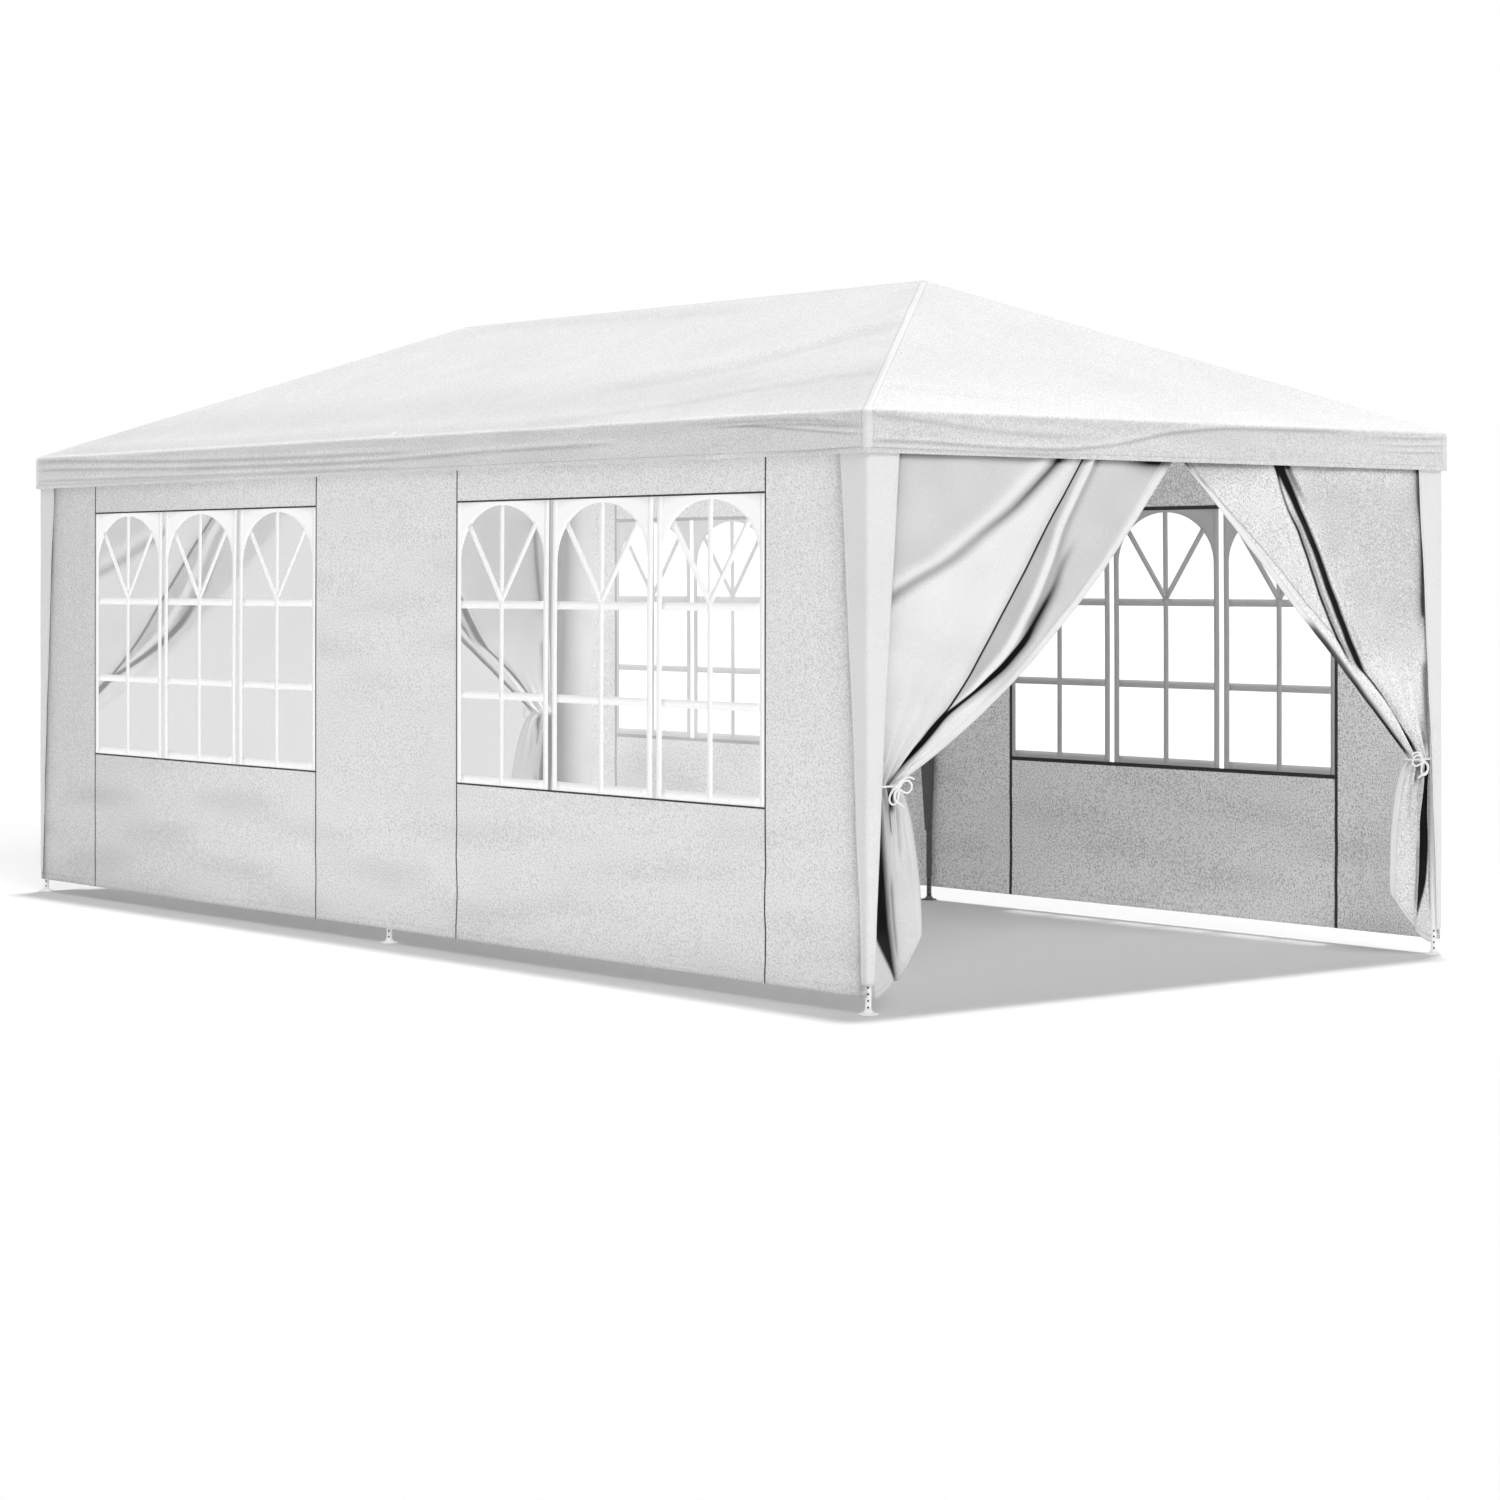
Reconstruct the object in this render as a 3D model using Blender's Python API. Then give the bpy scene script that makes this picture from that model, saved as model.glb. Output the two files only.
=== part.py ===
"""A 3 m by 6 m party marquee: six steel legs on adjustable feet, an eave ring, a hipped roof
frame, a fabric roof with a valance, two long window walls and curtains tied back at both ends.

+Z is up, Y runs along the tent and the doorways face -Y and +Y. The origin is on the ground
under the middle. Everything is in metres.
"""
import bpy
import bmesh
import numpy as np
from math import acos, atan2, cos, pi, sin, sqrt
from mathutils import Vector

# Plan and heights
HALF_WIDTH = 1.475          # leg centre from the middle, across
HALF_LENGTH = 2.950         # leg centre from the middle, along
EAVE_OVERHANG = 0.040       # leg centre to the outside of the valance
EAVE_HEIGHT = 2.050         # top of the roof sheet at its edge
PEAK_HEIGHT = 2.660
RIDGE_HALF = 1.600          # middle of the ridge to each peak
VALANCE_BOTTOM = 1.900
GAP = 0.0003                # between pieces that touch

# Tubes and their plastic joints
LEG_RADIUS = 0.0130
LEG_BORE = 0.0115
LEG_BOTTOM = 0.105
LEG_BORE_TOP = 1.900
RAIL_RADIUS = 0.0125
SOCKET_RADIUS = 0.0165
LEG_SOCKET_RADIUS = 0.0175
SOCKET_BORE = RAIL_RADIUS + GAP
SOCKET_LENGTH = 0.095
SOCKET_FLOOR = 0.038        # joint centre to the inner end of a tube
SOCKET_BACK = 0.0004        # how far each socket runs back past the joint's centre
BORE_PAST = 0.010           # how far a bore's cutter runs past the mouth
HUB_SHARE = 0.985           # hub ball to socket radius
CORE_SHARE = 0.900          # inner ball that the ridge joints start from
LEG_SOCKET_LENGTH = 0.085
ROUND_SIDES = 12
HOLE_SIDES = 6
BALL_DIVISIONS = 2
SHARP_EDGE = pi / 6

# Adjustable feet
FOOT_RADIUS = 0.0110
FOOT_BORE = 0.0095
FOOT_TOP = 0.360
PLATE_RADIUS = 0.035
PLATE_EDGE = 0.004
FLARE_RADIUS = 0.017
FLARE_HEIGHT = 0.010
FLARE_TOP = 0.018
HOLE_RADIUS = 0.0032
HOLE_FIRST = 0.0255
HOLE_STEP = 0.0225
HOLE_COUNT = 8
HOLE_TURN = pi / 4          # the holes face along the tent's diagonal

# Fabric
SHEET = 0.003
ROOF_DROP = 0.0035          # upright thickness of the roof sheet
WALL_HEM = 0.060
WALL_TOP = 2.030
WALL_END = 2.965
WINDOW_NEAR = 0.520         # window edges along the tent, from the middle
WINDOW_FAR = 2.430
WINDOW_SILL = 0.672
WINDOW_HEAD = 1.778
PANE = 0.0012
COVER_BOTTOM = 0.100
COVER_TOP = 1.975
COVER_WIDTH_TOP = 0.150
COVER_WIDTH_BOTTOM = 0.042
SLEEVE_BOTTOM = 0.320
SLEEVE_TOP = 2.000
SLEEVE_HALF_BOTTOM = 0.0165
SLEEVE_HALF_TOP = 0.085
SLEEVE_REACH_TOP = 0.095    # leg centre to the sleeve's face towards the room, at the top
SLEEVE_HOLD_BOTTOM = 0.0035 # leg centre to the sleeve's edge towards the wall, at the bottom

# Door curtains, as at the -X side of the -Y end; the +X ones hang straighter
CURTAIN_TOP = 2.030
CURTAIN_LEG_SIDE = -1.455
CURTAIN_MIDDLE = -0.004
SWOOP_PULL = {"left": (-0.600, 1.150), "right": (-0.610, 1.400)}
WAIST_HEIGHT = 0.770
WAIST_BAND = 0.012          # height of the straight waist under the tie
WAIST_LEG_SIDE = -1.457
WAIST_FREE_SIDE = -1.388
HEM_LEG_SIDE = (-1.452, 0.050)
HEM_FREE_SIDE = (-1.275, 0.250)
HANG_PLANE = -2.9683        # the curtain's mid plane where it hangs from the rail
WAIST_PLANE = -2.940
HEM_PLANE = -2.962
WAIST_PULL_POWER = 3        # how late, on the way down, the cloth draws in to the leg
FOLD_DEPTH = 0.016
FOLD_COUNT = 4
FOLD_START = 0.12           # share of the width at the leg that stays flat
FOLD_RISE = 0.25            # share of the width over which the folds deepen
FOLD_ONSET = 1 / 3          # share of the drop over which they deepen
GATHER_POWER = 4
BUNCH = (0.009, 0.013, 0.004)   # half depth of the gathered cloth: at the leg, swell, taper
TAIL_SPREAD_POWER = 0.8
TAIL_LOOSEN_POWER = 1.5
CURTAIN_COLUMNS = 16
CURTAIN_ROWS = 10
TAIL_ROWS = 4

# Tie cords
TIE_RADIUS = 0.0020
TIE_CLEAR = 0.0004
TIE_END = (0.063, -0.012)   # leg centre to the tie's round end, along the doorway and outwards
TIE_END_RADIUS = 0.0274
TIE_END_POINTS = 13
TIE_LEG_POINTS = 8

WAIST_TOP = WAIST_HEIGHT + WAIST_BAND / 2
WAIST_LOW = WAIST_HEIGHT - WAIST_BAND / 2
SHEET_IN = LEG_SOCKET_RADIUS + GAP                # leg centre to a wall's inner face
COVER_IN = SHEET_IN + SHEET + GAP                 # leg centre to a cover's inner face
ROOF_X = HALF_WIDTH + EAVE_OVERHANG
ROOF_Y = HALF_LENGTH + EAVE_OVERHANG
SIDE_PITCH = (PEAK_HEIGHT - EAVE_HEIGHT) / ROOF_X
END_PITCH = (PEAK_HEIGHT - EAVE_HEIGHT) / (ROOF_Y - RIDGE_HALF)
SHEET_CLEAR = (SOCKET_RADIUS + GAP) * sqrt(1 + END_PITCH ** 2)
PEAK_JOINT = PEAK_HEIGHT - ROOF_DROP - SHEET_CLEAR
EAVE_JOINT = EAVE_HEIGHT - ROOF_DROP + EAVE_OVERHANG * SIDE_PITCH - SHEET_CLEAR

SIDES = {"left": -1, "right": 1}
ENDS = {"front": -1, "back": 1}


def clear_scene():
    for old in list(bpy.data.objects):
        bpy.data.objects.remove(old, do_unlink=True)


def finish(name, colour, roughness, metallic=0.0, alpha=1.0):
    """One Principled BSDF material."""
    material = bpy.data.materials.new(name)
    material.use_nodes = True
    shader = material.node_tree.nodes["Principled BSDF"]
    shader.inputs["Base Color"].default_value = (*colour, 1.0)
    shader.inputs["Roughness"].default_value = roughness
    shader.inputs["Metallic"].default_value = metallic
    shader.inputs["Alpha"].default_value = alpha
    return material


def fabric():
    return finish("white_fabric", (0.86, 0.86, 0.85), 0.75)


def tube_paint():
    return finish("white_tube", (0.80, 0.80, 0.79), 0.35)


def joint_plastic():
    return finish("white_joint", (0.78, 0.78, 0.77), 0.50)


def window_film():
    return finish("clear_film", (0.82, 0.84, 0.85), 0.12, alpha=0.4)


def tie_cord():
    return finish("white_cord", (0.88, 0.88, 0.87), 0.80)


def make_object(name, body, material=None):
    """Turns a bmesh into an object, smooth on its round faces."""
    bmesh.ops.recalc_face_normals(body, faces=body.faces)
    mesh = bpy.data.meshes.new(name)
    body.to_mesh(mesh)
    body.free()
    mesh.shade_smooth()
    mesh.set_sharp_from_angle(angle=SHARP_EDGE)
    made = bpy.data.objects.new(name, mesh)
    bpy.context.scene.collection.objects.link(made)
    if material:
        made.data.materials.append(material)
    return made


def rod(name, start, end, radius, material=None, sides=ROUND_SIDES):
    """A round bar from start to end."""
    start, end = Vector(start), Vector(end)
    body = bmesh.new()
    bmesh.ops.create_cone(body, cap_ends=True, segments=sides, radius1=radius,
                          radius2=radius, depth=(end - start).length)
    made = make_object(name, body, material)
    made.location = (start + end) / 2
    made.rotation_mode = "QUATERNION"
    made.rotation_quaternion = (end - start).to_track_quat("Z", "Y")
    return made


def ball(name, centre, radius):
    body = bmesh.new()
    bmesh.ops.create_icosphere(body, subdivisions=BALL_DIVISIONS, radius=radius)
    made = make_object(name, body)
    made.location = centre
    return made


def combine(target, helper, operation):
    """Joins or cuts target with helper, which is then only a guide."""
    helper.hide_render = True
    helper.display_type = "WIRE"
    change = target.modifiers.new(helper.name, "BOOLEAN")
    change.operation = operation
    change.solver = "EXACT"
    change.object = helper


def lofted(name, sections, material):
    """A closed solid through like sections, each a list of points in order round it."""
    body = bmesh.new()
    rings = [[body.verts.new(point) for point in section] for section in sections]
    count = len(rings[0])
    for low, high in zip(rings, rings[1:]):
        for i in range(count):
            j = (i + 1) % count
            body.faces.new((low[i], low[j], high[j], high[i]))
    body.faces.new(list(reversed(rings[0])))
    body.faces.new(rings[-1])
    return make_object(name, body, material)


def slab(name, low, high, material):
    """A rectangular plate between two corners."""
    (x0, y0, z0), (x1, y1, z1) = low, high
    outline = [(x0, y0), (x1, y0), (x1, y1), (x0, y1)]
    return lofted(name, [[(x, y, z) for x, y in outline] for z in (z0, z1)], material)


def sockets(target, centre, directions, radius=SOCKET_RADIUS, bore=SOCKET_BORE):
    """Adds a round hub with one tube socket along each direction, then bores the sockets."""
    centre = Vector(centre)
    hub = ball(f"{target.name}_hub", centre, radius * HUB_SHARE)
    combine(target, hub, "UNION")
    arms = [Vector(direction).normalized() for direction in directions]
    for number, arm in enumerate(arms):
        back = centre - arm * SOCKET_BACK * (number + 1)
        outer = rod(f"{target.name}_socket_{number}", back, centre + arm * SOCKET_LENGTH, radius)
        combine(target, outer, "UNION")
    for number, arm in enumerate(arms):
        floor, mouth = centre + arm * SOCKET_FLOOR, centre + arm * (SOCKET_LENGTH + BORE_PAST)
        combine(target, rod(f"{target.name}_bore_{number}", floor, mouth, bore), "DIFFERENCE")


def framed_tube(name, start, end, material):
    """A tube between two joint centres, its ends inside their sockets."""
    start, end = Vector(start), Vector(end)
    along = (end - start).normalized() * (SOCKET_FLOOR + GAP)
    return rod(name, start + along, end - along, RAIL_RADIUS, material)


def leg_places():
    """Name, x, y and the directions of the tubes that meet on top of each leg."""
    peak = {end: Vector((0, ENDS[end] * RIDGE_HALF, PEAK_JOINT)) for end in ENDS}
    places = []
    for side, sx in SIDES.items():
        for end, sy in ENDS.items():
            top = Vector((sx * HALF_WIDTH, sy * HALF_LENGTH, EAVE_JOINT))
            places.append((f"{end}_{side}", top, [(-sx, 0, 0), (0, -sy, 0), peak[end] - top]))
        top = Vector((sx * HALF_WIDTH, 0, EAVE_JOINT))
        ridge = Vector((0, 0, PEAK_JOINT))
        places.append((f"middle_{side}", top, [(0, -1, 0), (0, 1, 0), ridge - top]))
    return places


def make_leg(place, top, directions, paint):
    """A hollow leg tube with its moulded joint, open at the bottom for the foot."""
    leg = rod(f"leg_{place}", (top.x, top.y, LEG_BOTTOM), (top.x, top.y, top.z), LEG_RADIUS, paint)
    low = (top.x, top.y, top.z - LEG_SOCKET_LENGTH)
    combine(leg, rod(f"leg_{place}_collar", low, top, LEG_SOCKET_RADIUS), "UNION")
    sockets(leg, top, directions)
    bore = rod(f"leg_{place}_bore", (top.x, top.y, 0), (top.x, top.y, LEG_BORE_TOP), LEG_BORE)
    combine(leg, bore, "DIFFERENCE")
    return leg


def make_foot(place, top, leg, paint):
    """The lower tube with its row of pin holes, on a round plate; it slides in the leg."""
    profile = [(PLATE_RADIUS, 0), (PLATE_RADIUS, PLATE_EDGE), (FLARE_RADIUS, FLARE_HEIGHT),
               (FOOT_RADIUS, FLARE_TOP), (FOOT_RADIUS, FOOT_TOP), (FOOT_BORE, FOOT_TOP),
               (FOOT_BORE, FLARE_TOP)]
    turns = [2 * pi * i / ROUND_SIDES for i in range(ROUND_SIDES)]
    rings = [[(r * cos(turn), r * sin(turn), z) for turn in turns] for r, z in profile]
    foot = lofted(f"foot_{place}", rings, paint)
    foot.location = (top.x, top.y, 0)
    across = Vector((cos(HOLE_TURN), sin(HOLE_TURN), 0)) * 2 * FOOT_RADIUS
    for number in range(HOLE_COUNT):
        centre = Vector((top.x, top.y, HOLE_FIRST + number * HOLE_STEP))
        name = f"foot_{place}_hole_{number}"
        hole = rod(name, centre - across, centre + across, HOLE_RADIUS, sides=HOLE_SIDES)
        combine(foot, hole, "DIFFERENCE")
    foot.parent = leg
    foot.matrix_parent_inverse = leg.matrix_basis.inverted()
    return foot


def make_frame(paint, plastic):
    """Legs, feet, eave rails, rafters, ridge pole and the joints on the ridge."""
    tops = {}
    for place, top, directions in leg_places():
        tops[place] = top
        leg = make_leg(place, top, directions, paint)
        make_foot(place, top, leg, paint)
    for end, sy in ENDS.items():
        framed_tube(f"{end}_rail", tops[f"{end}_left"], tops[f"{end}_right"], paint)
        peak = Vector((0, sy * RIDGE_HALF, PEAK_JOINT))
        reaches = [tops[f"{end}_{side}"] - peak for side in SIDES]
        joint = ball(f"peak_joint_{end}", peak, SOCKET_RADIUS * CORE_SHARE)
        joint.data.materials.append(plastic)
        sockets(joint, peak, reaches + [(0, -sy, 0)])
        for side in SIDES:
            framed_tube(f"{end}_{side}_rafter", tops[f"{end}_{side}"], peak, paint)
            framed_tube(f"{side}_rail_{end}", tops[f"{end}_{side}"], tops[f"middle_{side}"], paint)
        framed_tube(f"ridge_pole_{end}", (0, 0, PEAK_JOINT), peak, paint)
    crown = Vector((0, 0, PEAK_JOINT))
    joint = ball("ridge_joint", crown, SOCKET_RADIUS * CORE_SHARE)
    joint.data.materials.append(plastic)
    reaches = [tops[f"middle_{side}"] - crown for side in SIDES]
    sockets(joint, crown, reaches + [(0, -1, 0), (0, 1, 0)])
    for side in SIDES:
        framed_tube(f"middle_{side}_rafter", tops[f"middle_{side}"], crown, paint)


def shrunk(outline, distance):
    """A flat outline, counter-clockwise, with every edge moved in by distance."""
    points = [Vector(point) for point in outline]
    count, moved = len(points), []
    for i in range(count):
        before = (points[i] - points[i - 1]).normalized()
        after = (points[(i + 1) % count] - points[i]).normalized()
        inward_a, inward_b = Vector((-before.y, before.x)), Vector((-after.y, after.x))
        moved.append(points[i] + (inward_a + inward_b) * distance / (1 + inward_a.dot(inward_b)))
    return moved


def roof_panel(name, outline, height, material):
    """One sloping roof panel over a plan outline; height gives the roof's top at a point."""
    plan = shrunk(outline, GAP / 2)
    sections = [[(p.x, p.y, height(p) - drop) for p in plan] for drop in (ROOF_DROP, 0)]
    return lofted(name, sections, material)


def make_roof(cloth):
    """Four sewn panels that meet on the hips and the ridge, with a valance below each eave."""
    def side_height(p):
        return EAVE_HEIGHT + (ROOF_X - abs(p.x)) * SIDE_PITCH

    def end_height(p):
        return EAVE_HEIGHT + (ROOF_Y - abs(p.y)) * END_PITCH

    right = [(ROOF_X, -ROOF_Y), (ROOF_X, ROOF_Y), (0, RIDGE_HALF), (0, -RIDGE_HALF)]
    left = [(-x, -y) for x, y in right]
    back = [(ROOF_X, ROOF_Y), (-ROOF_X, ROOF_Y), (0, RIDGE_HALF)]
    front = [(-x, -y) for x, y in back]
    roof_panel("roof_left", left, side_height, cloth)
    roof_panel("roof_right", right, side_height, cloth)
    roof_panel("roof_front", front, end_height, cloth)
    roof_panel("roof_back", back, end_height, cloth)
    top = EAVE_HEIGHT - ROOF_DROP - GAP
    for side, sx in SIDES.items():
        xs = sorted((sx * (ROOF_X - SHEET), sx * ROOF_X))
        slab(f"valance_{side}", (xs[0], -ROOF_Y, VALANCE_BOTTOM), (xs[1], ROOF_Y, top), cloth)
    width = ROOF_X - SHEET - GAP
    for end, sy in ENDS.items():
        ys = sorted((sy * (ROOF_Y - SHEET), sy * ROOF_Y))
        slab(f"valance_{end}", (-width, ys[0], VALANCE_BOTTOM), (width, ys[1], top), cloth)


def make_walls(cloth, film):
    """A long wall on each side with two window openings, and a clear sheet in each."""
    along = [-WALL_END, -WINDOW_FAR, -WINDOW_NEAR, WINDOW_NEAR, WINDOW_FAR, WALL_END]
    up = [WALL_HEM, WINDOW_SILL, WINDOW_HEAD, WALL_TOP]
    for side, sx in SIDES.items():
        inner = sx * (HALF_WIDTH + SHEET_IN)
        body = bmesh.new()
        grid = [[body.verts.new((inner, y, z)) for y in along] for z in up]
        windows = [(1, 1), (1, 3)]
        faces = [body.faces.new((grid[j][i], grid[j][i + 1], grid[j + 1][i + 1], grid[j + 1][i]))
                 for j in range(len(up) - 1) for i in range(len(along) - 1)
                 if (j, i) not in windows]
        out = bmesh.ops.extrude_face_region(body, geom=faces)
        moved = [part for part in out["geom"] if isinstance(part, bmesh.types.BMVert)]
        bmesh.ops.translate(body, verts=moved, vec=(sx * SHEET, 0, 0))
        make_object(f"{side}_wall", body, cloth)
        xs = sorted((inner + sx * (SHEET - PANE) / 2, inner + sx * (SHEET + PANE) / 2))
        for end, sy in ENDS.items():
            ys = sorted((sy * (WINDOW_NEAR + GAP), sy * (WINDOW_FAR - GAP)))
            slab(f"{side}_window_{end}", (xs[0], ys[0], WINDOW_SILL + GAP),
                 (xs[1], ys[1], WINDOW_HEAD - GAP), film)


def make_corner_cover(name, sx, sy, cloth):
    """An L-shaped cloth cover outside a corner leg, wide at the eave and narrow at the foot."""
    inner = COVER_IN
    outer = COVER_IN + SHEET
    sections = []
    for z, width in ((COVER_BOTTOM, COVER_WIDTH_BOTTOM), (COVER_TOP, COVER_WIDTH_TOP)):
        far = outer - width
        outline = [(outer, outer), (outer, far), (inner, far), (inner, inner), (far, inner),
                   (far, outer)]
        sections.append([(sx * (HALF_WIDTH + a), sy * (HALF_LENGTH + b), z) for a, b in outline])
    lofted(name, sections, cloth)


def make_leg_sleeve(name, sx, cloth):
    """A three-sided cloth sleeve round the room side of a middle leg, tapering downwards."""
    sections = []
    low = (SLEEVE_BOTTOM, SLEEVE_HALF_BOTTOM, SLEEVE_HALF_BOTTOM, SLEEVE_HOLD_BOTTOM)
    high = (SLEEVE_TOP, SLEEVE_HALF_TOP, SLEEVE_REACH_TOP, SHEET_IN - GAP)
    for z, half, reach, hold in (low, high):
        outline = [(hold, -half), (-reach, -half), (-reach, half), (hold, half),
                   (hold, half - SHEET), (SHEET - reach, half - SHEET),
                   (SHEET - reach, SHEET - half), (hold, SHEET - half)]
        sections.append([(sx * (HALF_WIDTH + a), b, z) for a, b in outline])
    lofted(name, sections, cloth)


def curtain_frame(v, pull):
    """Leg side and free side (x, z) and the mid plane's y, at v from the rail, 0, to the waist, 1.

    The free side is a curve from the middle of the rail to the waist, drawn towards pull."""
    leg_side = (CURTAIN_LEG_SIDE + (WAIST_LEG_SIDE - CURTAIN_LEG_SIDE) * v,
                CURTAIN_TOP + (WAIST_TOP - CURTAIN_TOP) * v)
    a, b, c = (1 - v) ** 2, 2 * v * (1 - v), v * v
    free_side = (a * CURTAIN_MIDDLE + b * pull[0] + c * WAIST_FREE_SIDE,
                 a * CURTAIN_TOP + b * pull[1] + c * WAIST_TOP)
    plane = HANG_PLANE + (WAIST_PLANE - HANG_PLANE) * v ** WAIST_PULL_POWER
    return leg_side, free_side, plane


def tail_frame(w):
    """The same from the waist, w = 0, to the hem, w = 1."""
    leg_side = (WAIST_LEG_SIDE + (HEM_LEG_SIDE[0] - WAIST_LEG_SIDE) * w,
                WAIST_LOW + (HEM_LEG_SIDE[1] - WAIST_LOW) * w)
    spread = sin(w * pi / 2) ** TAIL_SPREAD_POWER
    free_side = (WAIST_FREE_SIDE + (HEM_FREE_SIDE[0] - WAIST_FREE_SIDE) * spread,
                 WAIST_LOW + (HEM_FREE_SIDE[1] - WAIST_LOW) * w)
    return leg_side, free_side, WAIST_PLANE + (HEM_PLANE - WAIST_PLANE) * w


def curtain_section(frame, fold, gathered):
    """One closed row of the curtain: its front edge to edge, then its back.

    fold is the depth of the folds and gathered, from 0 to 1, how much the cloth is bunched."""
    (x0, z0), (x1, z1), plane = frame
    u = np.linspace(0, 1, CURTAIN_COLUMNS + 1)
    ramp = np.clip((u - FOLD_START) / FOLD_RISE, 0, 1)
    wave = plane + fold * ramp * np.sin(2 * pi * FOLD_COUNT * u)
    bunch = BUNCH[0] + BUNCH[1] * np.sin(pi * u) - BUNCH[2] * u
    half = (1 - gathered) * SHEET / 2 + gathered * bunch
    x, z = x0 + (x1 - x0) * u, z0 + (z1 - z0) * u
    front = np.stack([x, wave - half, z], 1)
    back = np.stack([x, wave + half, z], 1)
    return np.concatenate([front, back[::-1]])


def make_curtain(name, sx, sy, pull, cloth):
    """A door curtain that hangs from the end rail, drawn to its leg and tied, with a tail."""
    rows = []
    for v in np.linspace(0, 1, CURTAIN_ROWS + 1):
        fold = FOLD_DEPTH * min(1, v / FOLD_ONSET) * (1 - v ** 2)
        rows.append(curtain_section(curtain_frame(v, pull), fold, v ** GATHER_POWER))
    for w in np.linspace(0, 1, TAIL_ROWS + 1):
        gathered = (1 - w) ** TAIL_LOOSEN_POWER
        rows.append(curtain_section(tail_frame(w), FOLD_DEPTH / 2 * w, gathered))
    mirror = np.array([-sx, -sy, 1])
    lofted(name, [[tuple(point) for point in row * mirror] for row in rows], cloth)


def make_tie(name, sx, sy, cord):
    """A cord drawn round the leg and the gathered curtain: a belt about two circles."""
    leg_radius = LEG_RADIUS + TIE_CLEAR + TIE_RADIUS
    run = Vector(TIE_END)
    heading = atan2(run.y, run.x)
    tilt = acos((leg_radius - TIE_END_RADIUS) / run.length)
    round_end = heading + np.linspace(-tilt, tilt, TIE_END_POINTS)
    round_leg = heading + np.linspace(tilt, 2 * pi - tilt, TIE_LEG_POINTS)
    xs = np.concatenate([run.x + TIE_END_RADIUS * np.cos(round_end), leg_radius * np.cos(round_leg)])
    ys = np.concatenate([run.y + TIE_END_RADIUS * np.sin(round_end), leg_radius * np.sin(round_leg)])
    curve = bpy.data.curves.new(name, "CURVE")
    curve.dimensions = "3D"
    curve.bevel_depth = TIE_RADIUS
    curve.bevel_resolution = 2
    line = curve.splines.new("POLY")
    line.points.add(len(xs) - 1)
    for point, x, y in zip(line.points, xs, ys):
        point.co = (-sx * (x - HALF_WIDTH), sy * (HALF_LENGTH + y), WAIST_HEIGHT, 1)
    line.use_cyclic_u = True
    made = bpy.data.objects.new(name, curve)
    bpy.context.scene.collection.objects.link(made)
    curve.materials.append(cord)


def make_cloth_parts(cloth, film, cord):
    make_roof(cloth)
    make_walls(cloth, film)
    for side, sx in SIDES.items():
        make_leg_sleeve(f"leg_sleeve_{side}", sx, cloth)
        for end, sy in ENDS.items():
            make_corner_cover(f"leg_cover_{end}_{side}", sx, sy, cloth)
            make_curtain(f"curtain_{end}_{side}", sx, sy, SWOOP_PULL[side], cloth)
            make_tie(f"tie_{end}_{side}", sx, sy, cord)


clear_scene()
make_frame(tube_paint(), joint_plastic())
make_cloth_parts(fabric(), window_film(), tie_cord())
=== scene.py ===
import bmesh
import bpy
import numpy as np
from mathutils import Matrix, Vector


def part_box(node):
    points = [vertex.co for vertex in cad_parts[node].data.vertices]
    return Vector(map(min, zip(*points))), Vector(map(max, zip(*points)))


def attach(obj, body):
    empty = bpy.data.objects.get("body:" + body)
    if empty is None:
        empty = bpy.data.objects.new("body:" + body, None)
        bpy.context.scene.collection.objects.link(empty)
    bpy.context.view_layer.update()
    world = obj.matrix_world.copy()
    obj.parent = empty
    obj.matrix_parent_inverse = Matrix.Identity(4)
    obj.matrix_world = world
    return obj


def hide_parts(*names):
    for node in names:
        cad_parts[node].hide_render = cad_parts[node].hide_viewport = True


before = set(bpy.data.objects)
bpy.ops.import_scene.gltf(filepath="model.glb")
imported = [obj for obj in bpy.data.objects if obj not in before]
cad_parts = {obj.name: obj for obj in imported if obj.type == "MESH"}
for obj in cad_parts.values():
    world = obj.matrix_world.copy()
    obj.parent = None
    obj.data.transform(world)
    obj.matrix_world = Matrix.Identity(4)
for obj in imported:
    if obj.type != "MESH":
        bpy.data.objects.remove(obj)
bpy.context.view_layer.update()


# The view. The tent stands on a plain pale floor in soft studio light, and is seen from beyond its
# front left corner, a little below head height. A nearly overhead sun leaves a shade under the roof
# that reaches out to the left; a second, broad light fills the doorway end from the camera's side.
SUN_STRENGTH, SUN_ANGLE = 1.85, np.radians(4)
SUN_TILT = (np.radians(-2.8), np.radians(4.8), 0)
FILL_STRENGTH, FILL_ANGLE = 0.82, np.radians(25)
FILL_TURN = (np.radians(55), 0, np.radians(-20))
SKY_STRENGTH = 0.42
FLOOR_HALF = 60.0

camera_data = bpy.data.cameras.new("camera")
camera_data.lens = 81.54
camera_data.sensor_width = 36.0
camera_data.shift_y = -0.113
camera_data.clip_end = 250.0
camera = bpy.data.objects.new("camera", camera_data)
camera.location = (-9.043, -11.609, 1.469)
camera.rotation_euler = (np.radians(90), 0, np.radians(-39.16))
bpy.context.scene.collection.objects.link(camera)
bpy.context.scene.camera = camera
bpy.context.scene.view_settings.view_transform = "Standard"


def add_step(tree, kind, feeds=(), out=0, **settings):
    """Adds one node to a shader tree. feeds maps its sockets to values or to other nodes' outputs."""
    made = tree.nodes.new(kind)
    for setting, value in settings.items():
        setattr(made, setting, value)
    for socket, value in dict(feeds).items():
        if isinstance(value, bpy.types.NodeSocket):
            tree.links.new(value, made.inputs[socket])
        else:
            made.inputs[socket].default_value = value
    return made.outputs[out]


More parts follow.
